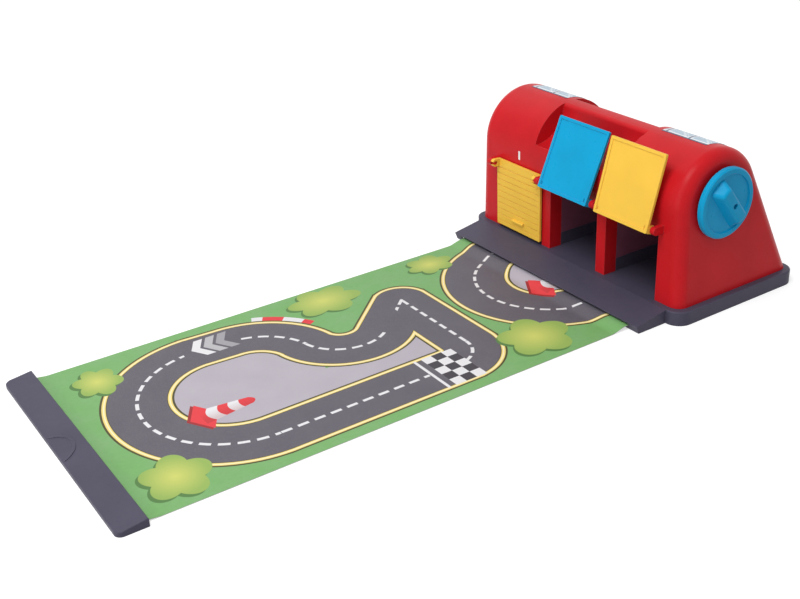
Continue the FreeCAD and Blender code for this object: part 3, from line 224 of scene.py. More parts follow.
class Paint:
    """A material under construction, with the node groups that the finishes share."""

    first_colour = 6
    second_colour = 7
    mixed_colour = 2

    def __init__(self, name: str) -> None:
        """Starts a material.

        Args:
            name: The material's name.
        """
        self.material = bpy.data.materials.new(name)
        self.material.use_nodes = True
        self.tree = self.material.node_tree
        self.shader = self.tree.nodes["Principled BSDF"]
        self.place = self.tree.nodes.new("ShaderNodeTexCoord").outputs["Object"]

    def node(self, kind: str, **entries: Union[Socket, float, Sequence[float]]) -> bpy.types.Node:
        """Adds a node and fills its entries in.

        Args:
            kind: The node's type.
            entries: The entries' names, each with the output or the value that it takes.

        Returns:
            The node.
        """
        node = self.tree.nodes.new(kind)
        for name, value in entries.items():
            if isinstance(value, Socket):
                self.tree.links.new(value, node.inputs[name])
            else:
                node.inputs[name].default_value = value
        return node

    def constant(self, **values: Union[float, Sequence[float]]) -> None:
        """Sets sockets of the shader that are the same all over.

        Args:
            values: Socket names with underscores for spaces, and their values.
        """
        for name, value in values.items():
            self.shader.inputs[name.replace("_", " ")].default_value = value

    def finish(self, colour: Socket, gloss: Field, normal: Socket, **values: float) -> Material:
        """Feeds the shader.

        Args:
            colour: The surface's colour.
            gloss: Its roughness.
            normal: Its direction.
            values: The shader's other sockets, with underscores for spaces.

        Returns:
            The finished material.
        """
        fed = {"Base Color": colour, "Roughness": gloss.socket, "Normal": normal}
        for name, socket in fed.items():
            self.tree.links.new(socket, self.shader.inputs[name])
        self.constant(**values)
        return self.material

    def axes(self, unit: float = 1.0) -> List[Field]:
        """The object's coordinates as three fields.

        Args:
            unit: The size of one unit in metres, such as 0.001 for millimetres.

        Returns:
            The fields x, y and z.
        """
        scaled = self.node("ShaderNodeMapping", Vector=self.place, Scale=(1 / unit, 1 / unit, 1 / unit))
        split = self.node("ShaderNodeSeparateXYZ", Vector=scaled.outputs[0])
        return [Field(self.tree, output) for output in split.outputs]

    def noise(self, grain: float, detail: float = 2.0, stretch: Triple = (1, 1, 1)) -> Field:
        """A cloudy pattern.

        Args:
            grain: The size of one cloud, in metres.
            detail: How many finer layers are added.
            stretch: The pattern's density along each axis.

        Returns:
            A field from about 0 to 1, with 0.5 as its middle.
        """
        scaled = self.node("ShaderNodeMapping", Vector=self.place, Scale=stretch)
        cloud = self.node("ShaderNodeTexNoise", Vector=scaled.outputs[0], Scale=1 / grain, Detail=detail)
        return Field(self.tree, cloud.outputs["Fac"])

    def mix(self, share: Number, first: Shade, second: Shade) -> Socket:
        """Goes from one colour to another.

        Args:
            share: How much of the second colour shows.
            first: The colour at 0.
            second: The colour at 1.

        Returns:
            The mixed colour.
        """
        node = self.tree.nodes.new("ShaderNodeMix")
        node.data_type = "RGBA"
        if isinstance(share, Field):
            self.tree.links.new(share.socket, node.inputs[0])
        else:
            node.inputs[0].default_value = share
        for entry, shade in ((self.first_colour, first), (self.second_colour, second)):
            if isinstance(shade, Socket):
                self.tree.links.new(shade, node.inputs[entry])
            else:
                node.inputs[entry].default_value = (*shade, 1)
        return node.outputs[self.mixed_colour]

    def soft_edges(self, radius: float) -> Socket:
        """The surface's direction with its sharp edges rounded off.

        Args:
            radius: The rounding, in metres.

        Returns:
            The direction.
        """
        node = self.node("ShaderNodeBevel", Radius=radius)
        node.samples = 4
        return node.outputs[0]

    def relief(self, height: Field, depth: float, normal: Socket | None = None) -> Socket:
        """Raises the surface by a pattern.

        Args:
            height: The pattern, from 0 to 1.
            depth: The height of its tops, in metres.
            normal: The direction of the surface under it.

        Returns:
            The direction of the raised surface.
        """
        node = self.node("ShaderNodeBump", Height=height.socket, Distance=depth, Strength=1.0)
        if normal is not None:
            self.tree.links.new(normal, node.inputs["Normal"])
        return node.outputs[0]

    def worn(self, radius: float, slope: float = 4.0) -> Field:
        """Where the surface has an edge.

        Args:
            radius: How far the edge band reaches from the edge, in metres.
            slope: How fast the band grows as the surface turns away.

        Returns:
            A field that grows from 0 on the flat to 1 on the edge.
        """
        flat = self.node("ShaderNodeNewGeometry")
        angle = self.node("ShaderNodeVectorMath")
        angle.operation = "DOT_PRODUCT"
        self.tree.links.new(self.soft_edges(radius), angle.inputs[0])
        self.tree.links.new(flat.outputs["Normal"], angle.inputs[1])
        return Field(self.tree, angle.outputs["Value"]).math(Blend.MULTIPLY_ADD, -slope, slope, clamp=True)


def lighter(colour: Colour, share: float) -> Colour:
    """A colour moved towards white.

    Args:
        colour: The colour to start from.
        share: How far it goes, from 0 to 1.

    Returns:
        The paler colour.
    """
    return tuple(part + (1 - part) * share for part in colour)


def darker(colour: Colour, share: float) -> Colour:
    """A colour moved towards black.

    Args:
        colour: The colour to start from.
        share: How far it goes, from 0 to 1.

    Returns:
        The darker colour.
    """
    return tuple(part * (1 - share) for part in colour)


def directly_seen(tree: bpy.types.NodeTree) -> Field:
    """Where a ray comes from the camera, either straight, by a gloss or through something clear.

    Args:
        tree: The node tree that asks.

    Returns:
        The mask.
    """
    path = tree.nodes.new("ShaderNodeLightPath")
    straight = Field(tree, path.outputs["Is Camera Ray"])
    glossy = Field(tree, path.outputs["Is Glossy Ray"])
    return straight | glossy | Field(tree, path.outputs["Is Transmission Ray"])


@dataclass(frozen=True)
class Plastic:
    """A moulded plastic: dyed through, with the mould's fine texture, faint flow marks, and paler edges that
    are partly rubbing and partly a painted highlight.
    """

    name: str
    colour: Colour
    roughness: float = 0.32
    grain: float = 0.0009
    relief: float = 0.00002
    cloud: float = 0.045
    scuff: float = 0.005
    flow: float = 0.16
    speck: float = 0.012
    edge: float = 0.0006
    # share and tone of the paler edges: partly rubbing, partly a painted highlight
    wear: float = 0.28
    worn_tone: float = 0.35
    shine: float = 0.12

    def material(self) -> Material:
        """Makes the finish.

        Returns:
            The material.
        """
        paint = Paint(self.name)
        clouds = paint.noise(self.cloud, 3.0)
        fine = paint.noise(self.grain, 2.0)
        scuffs = paint.noise(self.scuff, 4.0)
        dyed = paint.mix(clouds.between(0.55, 0.9, 0.4), self.colour, darker(self.colour, self.flow))
        dyed = paint.mix(fine.above(0.55, 0.5) * 0.5, dyed, lighter(self.colour, self.speck))
        # paler edges where scuffs fall: partly real rubbing, partly a painted highlight along the edges
        edges = paint.worn(self.edge) & scuffs.above(0.42, 0.3)
        dyed = paint.mix(edges * self.wear, dyed, lighter(self.colour, self.worn_tone))
        gloss = scuffs.around(0.0, 0.14) + clouds.around(self.roughness, 0.08)
        waves = paint.relief(clouds, self.relief * 8, paint.soft_edges(self.edge))
        return paint.finish(dyed, gloss, paint.relief(fine, self.relief, waves), Specular_IOR_Level=self.shine)


@dataclass(frozen=True)
class Steel:
    """Zinc-plated steel of the small screws and pins."""

    name: str
    colour: Colour = (0.58, 0.58, 0.60)
    roughness: float = 0.34
    stain: float = 0.0014
    turning: float = 0.0003
    relief: float = 0.00001
    edge: float = 0.0002

    def material(self) -> Material:
        """Makes the finish.

        Returns:
            The material.
        """
        paint = Paint(self.name)
        stains = paint.noise(self.stain, 3.0)
        turned = paint.noise(self.turning, 1.0, (1.0, 1.0, 6.0))
        tone = paint.mix(stains.above(0.5, 0.4), self.colour, darker(self.colour, 0.3))
        normal = paint.relief(turned, self.relief, paint.soft_edges(self.edge))
        return paint.finish(tone, stains.around(self.roughness, 0.25), normal, Metallic=1.0)


@dataclass(frozen=True)
class WindowLabel:
    """The roof labels: two slanted window panes side by side, printed on glossy film.

    Places on the film are in millimetres, along the roof from its start and up the arch from its middle."""

    name: str
    start: float
    pane: float = 33.0
    arch: Span = (-28.494, 124.5)
    radius: float = 60.5
    middle: float = 105.0
    slant: float = 0.25
    shift: float = 2.0
    rim_inset: float = 1.4
    rim_half: float = 15.6
    glass_inset: float = 2.6
    glass_half: float = 13.6
    glass_up: float = 0.6
    glass: Colour = (0.25, 0.37, 0.53)
    sky: Colour = (0.42, 0.57, 0.67)
    frame: Colour = (0.10, 0.13, 0.20)
    rim: Colour = (0.82, 0.84, 0.88)
    glint: Colour = (0.93, 0.95, 0.98)
    glint_share: float = 0.45
    roughness: float = 0.24

    def material(self) -> Material:
        """Makes the finish.

        Returns:
            The material.
        """
        paint = Paint(self.name)
        x, y, z = paint.axes(MILLIMETRE)
        turn = (z - self.arch[1]).math(Blend.ANGLE, (y - self.arch[0]) * -1.0)
        up = (turn - math.radians(self.middle)) * self.radius
        along = ((x - self.start) + up * self.slant - self.shift).math(Blend.REPEAT, self.pane)
        glass = along.between(self.glass_inset, self.pane - self.glass_inset)
        glass = glass & (up - self.glass_up).size().below(self.glass_half)
        rim = along.between(self.rim_inset, self.pane - self.rim_inset) & up.size().below(self.rim_half)
        cloud = paint.noise(0.012, 3.0, (1.0, 0.5, 1.0))
        tone = paint.mix((cloud * 0.5 + up * 0.02 + 0.2).clamped(), self.sky, self.glass)
        slope = along + up * 0.8
        glints = slope.between(14.0, 18.0, 2.0) | slope.between(20.0, 21.5, 1.5)
        tone = paint.mix(glints * self.glint_share, tone, self.glint)
        tone = paint.mix(glass, paint.mix(rim, self.frame, self.rim), tone)
        grain = paint.noise(0.0006, 2.0)
        return paint.finish(tone, grain.around(self.roughness, 0.1), paint.relief(grain, 0.00001))


@dataclass(frozen=True)
class Ink:
    """White printing ink of the door numbers, with the plastic's texture showing through."""

    name: str
    colour: Colour = (0.86, 0.86, 0.87)
    thin: Colour = (0.78, 0.55, 0.56)
    roughness: float = 0.42
    speckle: float = 0.0005
    relief: float = 0.00001

    def material(self) -> Material:
        """Makes the finish.

        Returns:
            The material.
        """
        paint = Paint(self.name)
        speckle = paint.noise(self.speckle, 3.0)
        tone = paint.mix(speckle.above(0.62, 0.2) * 0.5, self.colour, self.thin)
        return paint.finish(tone, speckle.around(self.roughness, 0.2), paint.relief(speckle, self.relief))


@dataclass(frozen=True)
class Backing:
    """The mat's bare underside: pale woven backing."""

    name: str
    colour: Colour = (0.62, 0.62, 0.60)
    roughness: float = 0.8
    thread: float = 0.0009
    relief: float = 0.00008
    shine: float = 0.2

    def material(self) -> Material:
        """Makes the finish.

        Returns:
            The material.
        """
        paint = Paint(self.name)
        x, y, _ = paint.axes(self.thread)
        weave = (x * math.pi).math(Blend.COSINE) * (y * math.pi).math(Blend.COSINE) * 0.5 + 0.5
        specks = paint.noise(0.004, 4.0)
        tone = paint.mix(weave, darker(self.colour, 0.22), self.colour)
        tone = paint.mix(specks.above(0.55, 0.3) * 0.4, tone, lighter(self.colour, 0.3))
        normal = paint.relief(weave, self.relief)
        return paint.finish(tone, specks.around(self.roughness, 0.2), normal, Specular_IOR_Level=self.shine)


@dataclass(frozen=True)
class Straight:
    """A straight stretch of the printed road, from one place to another, in millimetres."""

    start: Span
    end: Span

    def trace(self, x: Field, y: Field) -> Tuple[Field, Field, Field]:
        """Sets a point against the stretch.

        Args:
            x: The print's x.
            y: The print's y.

        Returns:
            How far the point is off the road's middle, how far past its ends, and how far along it.
        """
        run = math.dist(self.start, self.end)
        cosine, sine = ((last - first) / run for first, last in zip(self.start, self.end))
        across, along = x - self.start[0], y - self.start[1]
        gone = across * cosine + along * sine
        off = (along * cosine - across * sine).size()
        return off, (gone - run / 2).size() - run / 2, gone


@dataclass(frozen=True)
class Bend:
    """A bend of the printed road round a middle, in millimetres. It faces a direction and spreads to both
    sides of it, in degrees. A whole ring spreads over more than a turn, and a dot has no radius. Past its
    ends the distance grows by sharp for each radian."""

    middle: Span
    radius: float
    facing: float = 0.0
    spread: float = 400.0
    squeeze: float = 1.0
    wider: float = 0.0
    sharp: float = 200.0

    def step(self, x: Field, y: Field) -> Tuple[Field, Field]:
        """The step from the middle to a point."""
        return (x - self.middle[0]) * self.squeeze, y - self.middle[1]

    def disc(self, x: Field, y: Field) -> Field:
        """Where a point lies on the inner side of the road's middle line.

        Args:
            x: The print's x.
            y: The print's y.

        Returns:
            The mask.
        """
        across, along = self.step(x, y)
        return across.length(along).below(self.radius)

    def trace(self, x: Field, y: Field) -> Tuple[Field, Field, Field]:
        """Sets a point against the bend.

        Args:
            x: The print's x.
            y: The print's y.

        Returns:
            How far the point is off the road's middle, how far past its ends, and how far along it.
        """
        cosine, sine = math.cos(math.radians(self.facing)), math.sin(math.radians(self.facing))
        across, along = self.step(x, y)
        turn = (along * cosine - across * sine).math(Blend.ANGLE, across * cosine + along * sine)
        past = (turn.size() - math.radians(self.spread / 2)) * self.sharp
        return (across.length(along) - self.radius).size(), past, turn * self.radius


@dataclass(frozen=True)
class Bush:
    """A leafy bush of the print, seen from above. Its place, half widths and shadow are in millimetres."""

    x: float
    y: float
    half_x: float
    half_y: float
    lobes: int
    turn: float
    cut: float = 0.28
    uneven: float = 0.05
    reach: float = 0.72
    bright: float = 0.42
    shadow: Span = (2.6, -4.0)


@dataclass(frozen=True)
class Cone:
    """A striped traffic cone of the print, drawn as it stands, in millimetres. Its foot is at x, y.

    The sides close in by taper for each millimetre up. Tip and bow bend the tip and the stripes."""

    x: float
    y: float
    height: float = 56.0
    half: float = 13.5
    taper: float = 0.14
    tip: float = 0.12
    bow: float = 0.035
    sunk: float = 3.0
    foot_x: float = 25.5
    foot_y: float = 15.0
    low_stripe: Span = (3.0, 15.5)
    high_stripe: Span = (27.0, 39.0)


class Canvas:
    """The mat's print as it is painted: the place on it in millimetres, and the colour so far."""

    def __init__(self, name: str, ground: Colour) -> None:
        """Starts a plain print.

        Args:
            name: The material's name.
            ground: The colour under everything.
        """
        self.paint = Paint(name)
        self.x, self.y, _ = self.paint.axes(MILLIMETRE)
        self.mottle = self.paint.noise(0.035, 4.0)
        self.ground: Shade = ground

    def lay(self, mask: Number, tone: Shade) -> None:
        """Paints a tone over the ground, where the mask is."""
        self.ground = self.paint.mix(mask, self.ground, tone)


@dataclass(frozen=True)
class RoadPrint:
    """The mat's print, in millimetres: a ring road by the garage and a winding circuit down to the bar, on
    grass, with kerbs, bushes, cones, arrow heads and a chequered line."""

    name: str
    road_half: float = 31.5
    overlap: float = 3.0
    border_out: float = 5.9
    line_out: float = 3.6
    thread: Span = (0.8, 2.0)
    gutter_in: float = 0.6
    tar_in: float = 1.4
    ring: Bend = Bend((-5.0, -116.0), 92.0, squeeze=1.05, wider=5.5)
    track: Tuple[Union[Straight, Bend], ...] = (
        Bend((0.0, -540.0), 98.5, -90.0, 180.0),
        Straight((98.5, -540.0), (98.5, -328.0)),
        Bend((63.5, -328.0), 35.0, 45.0, 90.0),
        Straight((63.5, -293.0), (-62.0, -293.0)),
        Bend((-62.0, -293.0), 0.0),
        Straight((-62.0, -293.0), (-12.0, -347.6)),
        Bend((-50.0, -383.0), 52.0, -17.6, 121.2),
        Bend((-25.0, -503.0), 71.0, 140.9, 78.2),
        Straight((-96.0, -503.0), (-98.5, -540.0)),
    )
    infield_discs: Tuple[Bend, ...] = (Bend((0.0, -540.0), 98.5), Bend((40.0, -330.0), 40.0))
    infield_x: Span = (20.0, 98.5)
    infield_y: Span = (-540.0, -293.0)
    kerb: Bend = Bend((-25.0, -503.0), 113.0, 136.5, 37.0)
    kerb_half: float = 4.5
    kerb_block: float = 24.0
    dash_pitch: float = 18.6
    dash: float = 12.0
    dash_half: float = 1.9
    dash_end: float = -0.5
    bare_straight: Span = (-366.0, -312.0)
    bare_arrows: Span = (-552.0, -490.0)
    bare_side: float = -80.0
    chequer: float = 13.0
    chequers_left: float = 65.5
    chequers_x: Span = (66.5, 130.5)
    chequers_y: Span = (-355.0, -316.0)
    stop_y: Span = (-365.0, -361.5)
    arrow_x: float = -103.0
    arrow_y: float = -541.0
    arrow_slope: float = 0.58
    arrow_half: float = 18.5
    arrow_depth: float = 10.5
    arrow_pitch: float = 14.5
    arrow_strengths: Triple = (1.0, 0.55, 0.35)
    grass: Colour = (0.172, 0.405, 0.127)
    asphalt: Colour = (0.094, 0.084, 0.108)
    infield: Colour = (0.44, 0.40, 0.46)
    line: Colour = (0.86, 0.68, 0.22)
    outline: Colour = (0.07, 0.06, 0.02)
    white: Colour = (0.76, 0.75, 0.77)
    red: Colour = (0.72, 0.045, 0.055)
    leaf: Colour = (0.29, 0.43, 0.10)
    leaf_light: Colour = (0.60, 0.62, 0.15)
    leaf_shade: Colour = (0.085, 0.20, 0.055)
    bushes: Tuple[Bush, ...] = (
        Bush(-121.0, -212.0, 25.0, 32.0, 6, -1.99),
        Bush(100.0, -228.0, 41.0, 43.0, 5, -0.97),
        Bush(-118.0, -366.0, 34.0, 46.0, 6, -0.9),
        Bush(-104.0, -648.0, 30.0, 26.0, 6, -0.52),
        Bush(103.0, -652.0, 37.0, 35.0, 5, -0.97),
    )
    cones: Tuple[Cone, ...] = (Cone(27.0, -587.0), Cone(18.7, -149.0))
    roughness: float = 0.5
    shine: float = 0.25

    def material(self) -> Material:
        """Makes the finish.

        Returns:
            The material.
        """
        canvas = Canvas(self.name, self.grass)
        self._ground(canvas)
        self._surface(canvas)
        self._chequers(canvas)
        self._arrows(canvas)
        for bush in self.bushes:
            self._bush(canvas, bush)
        for cone in self.cones:
            self._cone(canvas, cone)
        paint = canvas.paint
        film = paint.noise(0.0007, 3.0)
        waves = paint.noise(0.05, 2.0, (0.35, 1.0, 1.0))
        gloss = film.around(0.0, 0.12) + waves.around(self.roughness, 0.12)
        normal = paint.relief(film, 0.00002, paint.relief(waves, 0.0004))
        return paint.finish(canvas.ground, gloss, normal, Specular_IOR_Level=self.shine)

    def _ground(self, canvas: Canvas) -> None:
        """Paints the grass, the pale infields and the striped kerb.

        Args:
            canvas: The print so far.
        """
        paint, x, y = canvas.paint, canvas.x, canvas.y
        canvas.lay(canvas.mottle.above(0.5, 0.5), lighter(darker(self.grass, 0.08), 0.06))
        blades = paint.noise(0.0025, 2.0, (1.0, 0.4, 1.0))
        canvas.lay(blades.above(0.58, 0.3) * 0.25, darker(self.grass, 0.18))
        pale = paint.mix(canvas.mottle, darker(self.infield, 0.06), lighter(self.infield, 0.08))
        canvas.lay(self._inside(x, y), pale)
        off, past, run = self.kerb.trace(x, y)
        blocks = run.math(Blend.REPEAT, self.kerb_block * 2).below(self.kerb_block)
        canvas.lay(off.below(self.kerb_half) & past.below(0.0), paint.mix(blocks, self.white, self.red))

    def _inside(self, x: Field, y: Field) -> Field:
        """Where the infields are. Their edges lie hidden under the road.

        Args:
            x: The print's x.
            y: The print's y.

        Returns:
            The mask.
        """
        inside = x.between(*self.infield_x) & y.between(*self.infield_y)
        for bend in (self.ring, *self.infield_discs):
            inside = inside | bend.disc(x, y)
        return inside

    def _surface(self, canvas: Canvas) -> None:
        """Paints the road with its yellow border lines and its dashes.

        Args:
            canvas: The print so far.
        """
        paint, half = canvas.paint, self.road_half
        road, dashes = self._road(canvas.x, canvas.y)
        canvas.lay(road.below(half + self.border_out), self.outline)
        canvas.lay(road.below(half + self.line_out), self.line)
        inner, outer = self.thread
        canvas.lay(road.between(half + inner, half + outer), lighter(self.line, 0.45))
        canvas.lay(road.below(half - self.gutter_in), darker(self.outline, 0.1))
        grit = paint.noise(0.0011, 2.0)
        tar = paint.mix(canvas.mottle, self.asphalt, lighter(self.asphalt, 0.035))
        tar = paint.mix(grit.above(0.6, 0.25) * 0.3, tar, lighter(self.asphalt, 0.12))
        canvas.lay(road.below(half - self.tar_in), tar)
        canvas.lay(dashes, self.white)

    def _road(self, x: Field, y: Field) -> Tuple[Field, Field]:
        """Joins the stretches and bends of the road.

        Args:
            x: The print's x.
            y: The print's y.

        Returns:
            The distance to the middle of the nearest road, and the mask of the dashes along it.
        """
        road, dashes = None, None
        for piece in (self.ring, *self.track):
            off, past, run = piece.trace(x, y)
            wider = piece.wider if isinstance(piece, Bend) else 0.0
            reach = (off - wider).math(Blend.MAXIMUM, past + self.road_half - self.overlap)
            marks = off.below(self.dash_half) & past.below(self.dash_end)
            marks = marks & run.math(Blend.REPEAT, self.dash_pitch).below(self.dash)
            marks = marks & ~y.between(*self.bare_straight) if isinstance(piece, Straight) else marks
            road = reach if road is None else road.math(Blend.MINIMUM, reach)
            dashes = marks if dashes is None else dashes | marks
        return road, dashes & ~(x.below(self.bare_side) & y.between(*self.bare_arrows))

    def _chequers(self, canvas: Canvas) -> None:
        """Paints the chequered line across the right road, with the stop line before it.

        Args:
            canvas: The print so far.
        """
        across = canvas.x.between(*self.chequers_x)
        column = ((canvas.x - self.chequers_left) / self.chequer).math(Blend.FLOOR)
        row = ((canvas.y - self.chequers_y[0]) / self.chequer).math(Blend.FLOOR)
        odd = (column + row).math(Blend.REPEAT, 2.0).below(0.5, 0.02)
        squares = canvas.paint.mix(odd, darker(self.asphalt, 0.5), self.white)
        canvas.lay(across & canvas.y.between(*self.chequers_y), squares)
        canvas.lay(across & canvas.y.between(*self.stop_y), self.white)

    def _arrows(self, canvas: Canvas) -> None:
        """Paints three arrow heads on the left road, each fainter than the one before.

        Args:
            canvas: The print so far.
        """
        side = (canvas.x - self.arrow_x).size()
        ramp = canvas.y - side * self.arrow_slope - self.arrow_y
        for number, strength in enumerate(self.arrow_strengths):
            foot = number * self.arrow_pitch
            head = ramp.between(foot, foot + self.arrow_depth) & side.below(self.arrow_half)
            canvas.lay(head * strength, self.white)

    def _bush(self, canvas: Canvas, bush: Bush) -> None:
        """Paints one bush: a round of leafy lobes with a bright middle, over its shadow.

        Args:
            canvas: The print so far.
            bush: The bush.
        """
        for shift in (bush.shadow, (0.0, 0.0)):
            across = (canvas.x - (bush.x + shift[0])) / bush.half_x
            along = (canvas.y - (bush.y + shift[1])) / bush.half_y
            angle = along.math(Blend.ANGLE, across)
            lobes = (angle * (bush.lobes / 2) + bush.turn).math(Blend.COSINE).size() * bush.cut
            uneven = (angle + bush.turn).math(Blend.COSINE) * bush.uneven
            far = across.length(along)
            tone = self.leaf_shade
            if shift != bush.shadow:
                tone = canvas.paint.mix(far.below(bush.bright, 0.9), self.leaf, self.leaf_light)
            canvas.lay((far - lobes - uneven).below(bush.reach, 0.02), tone)

    def _cone(self, canvas: Canvas, cone: Cone) -> None:
        """Paints one striped cone on its square foot, with a shadow in front and a shaded right side.

        Args:
            canvas: The print so far.
            cone: The cone.
        """
        side, up = (canvas.x - cone.x).size(), canvas.y - cone.y
        foot = side / cone.foot_x + up.size() / cone.foot_y
        shadow = side / cone.foot_x + (up + cone.sunk).size() / cone.foot_y
        canvas.lay(shadow.below(1.05, 0.03), darker(self.red, 0.55))
        canvas.lay(foot.below(1.0, 0.03), self.red)
        body = (side + up * cone.taper).below(cone.half) & up.above(-cone.sunk)
        body = body & (up + side * side * cone.tip).below(cone.height)
        rings = up - side * side * cone.bow
        stripes = rings.between(*cone.low_stripe) | rings.between(*cone.high_stripe)
        canvas.lay(body, canvas.paint.mix(stripes, self.red, self.white))
        shaded = (canvas.x - cone.x).above(1.0, 14.0) * 0.35
        canvas.lay(body & shaded, darker(self.red, 0.6))


def new_object(name: str, data: bpy.types.ID) -> bpy.types.Object:
    """Puts a new object into the scene.

    Args:
        name: The object's name.
        data: Its mesh, curve, camera or lamp.

    Returns:
        The object.
    """
    item = bpy.data.objects.new(name, data)
    bpy.context.scene.collection.objects.link(item)
    return item


def new_piece(name: str, shape: bmesh.types.BMesh, materials: Iterable[Material]) -> bpy.types.Object:
    """Turns a finished shape into an object.

    Args:
        name: The object's name.
        shape: The shape, in the object's frame. It is freed.
        materials: The object's materials.

    Returns:
        The object.
    """
    mesh = bpy.data.meshes.new(name)
    shape.to_mesh(mesh)
    shape.free()
    for material in materials:
        mesh.materials.append(material)
    return new_object(name, mesh)


@dataclass(frozen=True)
class Lamp:
    """A square soft lamp: where it hangs, the length of its sides and its power in watts."""

    name: str
    place: Triple
    size: float
    power: float

    def hang(self, aim: Triple) -> None:
        """Hangs the lamp.

        Args:
            aim: The place that it looks at.
        """
        light = bpy.data.lights.new(self.name, "AREA")
        light.size = self.size
        light.energy = self.power
        spot = Vector(self.place)
        turn = (Vector(aim) - spot).to_track_quat("-Z", "Y")
        new_object(self.name, light).matrix_world = Matrix.Translation(spot) @ turn.to_matrix().to_4x4()


@dataclass(frozen=True)
class Studio:
    """The floor, the lamps, the world and the camera. Angles are in degrees, and the lens in millimetres."""

    place: Triple = (0.94799, -0.94282, 0.60887)
    azimuth: float = 57.32
    elevation: float = 26.83
    roll: float = -2.68
    lens: float = 52.02
    sensor: float = 36.0
    far: float = 50.0
    ambient: float = 0.50
    lamps: Tuple[Lamp, ...] = (
        Lamp("key_lamp", (0.3, -1.35, 2.2), 1.2, 33.0),
        Lamp("fill_lamp", (-1.7, -0.2, 1.9), 1.8, 6.0),
        Lamp("front_lamp", (0.2, -2.3, 0.55), 1.4, 10.0),
    )
    aim: Triple = (0.0, -0.25, 0.05)
    floor_half: float = 7.0
    floor_drop: float = 0.0002
    floor_tone: float = 0.55
    floor_glow: float = 0.62
    floor_roughness: float = 0.9

    def build(self) -> None:
        """Makes the whole studio."""
        self._camera()
        self._world()
        self._floor()
        for lamp in self.lamps:
            lamp.hang(self.aim)

    def _camera(self) -> None:
        """Makes the camera at the photograph's viewing angle."""
        turn, rise, tilt = (math.radians(angle) for angle in (self.azimuth, self.elevation, self.roll))
        back = Vector((math.sin(turn) * math.cos(rise), -math.cos(turn) * math.cos(rise), math.sin(rise)))
        right = Vector((math.cos(turn), math.sin(turn), 0.0))
        above = back.cross(right)
        level = right * math.cos(tilt) + above * math.sin(tilt)
        upward = above * math.cos(tilt) - right * math.sin(tilt)
        view = bpy.data.cameras.new("camera")
        view.lens = self.lens
        view.sensor_width = self.sensor
        view.clip_end = self.far
        camera = new_object("camera", view)
        axes = Matrix((level, upward, back)).transposed().to_4x4()
        camera.matrix_world = Matrix.Translation(self.place) @ axes
        bpy.context.scene.camera = camera

    def _world(self) -> None:
        """White where it is seen, straight or in gloss, and softer where it lights."""
        world = bpy.data.worlds.new("studio")
        bpy.context.scene.world = world
        world.use_nodes = True
        tree = world.node_tree
        light = tree.nodes["Background"]
        light.inputs["Color"].default_value = (1, 1, 1, 1)
        strength = directly_seen(tree).math(Blend.MULTIPLY_ADD, 1.0 - self.ambient, self.ambient)
        tree.links.new(strength.socket, light.inputs["Strength"])

    def _floor(self) -> None:
        """A plain pale floor that keeps the object's shadow."""
        paint = Paint("pale_floor")
        tone = self.floor_tone
        paint.constant(Base_Color=(tone, tone, tone, 1), Emission_Color=(1, 1, 1, 1),
                       Roughness=self.floor_roughness, Specular_IOR_Level=0.0)
        glow = directly_seen(paint.tree) * self.floor_glow
        paint.tree.links.new(glow.socket, paint.shader.inputs["Emission Strength"])
        shape = bmesh.new()
        bmesh.ops.create_grid(shape, x_segments=1, y_segments=1, size=self.floor_half)
        bmesh.ops.translate(shape, vec=(0.0, 0.0, -self.floor_drop), verts=shape.verts)
        floor = new_piece("floor", shape, (paint.material,))


@dataclass
class DoorNumbers:
    """The white number over each doorway. Half of its film is sunk in the wall."""

    wall: float = -0.08899
    foot: float = 0.1162
    height: float = 0.0098
    film: float = 0.00012
    weight: float = 0.075
    curve_steps: int = 6
    places: Triple = (-0.0973, -0.0008, 0.0957)

    def build(self, ink: Ink) -> List[bpy.types.Object]:
        """Makes the numbers.

        Args:
            ink: Their finish.

        Returns:
            The pieces.
        """
        material = ink.material()
        return [self._digit(str(number), x, material) for number, x in enumerate(self.places, start=1)]

    def _digit(self, text: str, x: float, material: Material) -> bpy.types.Object:
        """Makes one number.

        Args:
            text: The digit.
            x: Its middle.
            material: Its finish.

        Returns:
            The piece.
        """
        letters = bpy.data.curves.new("number_" + text, "FONT")
        letters.body = text
        letters.size = 1.0
        letters.extrude = 0.5
        letters.offset = self.weight
        letters.resolution_u = self.curve_steps
        letters.align_x = "CENTER"
        source = new_object("number_source", letters)
        bpy.context.view_layer.update()
        mesh = bpy.data.meshes.new_from_object(source)
        bpy.data.objects.remove(source)
        size = self.height / max(vertex.co.y for vertex in mesh.vertices)
        stand = Matrix.Rotation(math.pi / 2, 4, "X") @ Matrix.Diagonal((size, size, self.film * 2, 1.0))
        mesh.transform(Matrix.Translation((x, self.wall, self.foot)) @ stand)
        mesh.materials.clear()
        mesh.materials.append(material)
        piece = new_object("number_" + text, mesh)
        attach(piece, Body.GARAGE.value)
        log.info("number %s over its doorway", text)
        return piece


def eased(first: Vector, last: Vector, steps: int) -> List[Vector]:
    """A smooth step in height between two places.

    Args:
        first: Where it starts level.
        last: Where it ends level.
        steps: How many points it takes, the last one included.

    Returns:
        The points after the first.
    """
    points = []
    for step in range(1, steps + 1):
        share = step / steps
        smooth = share * share * (3 - 2 * share)
        along, up = last.y - first.y, last.z - first.z
        points.append(Vector((0, first.y + along * share, first.z + up * smooth)))
    return points


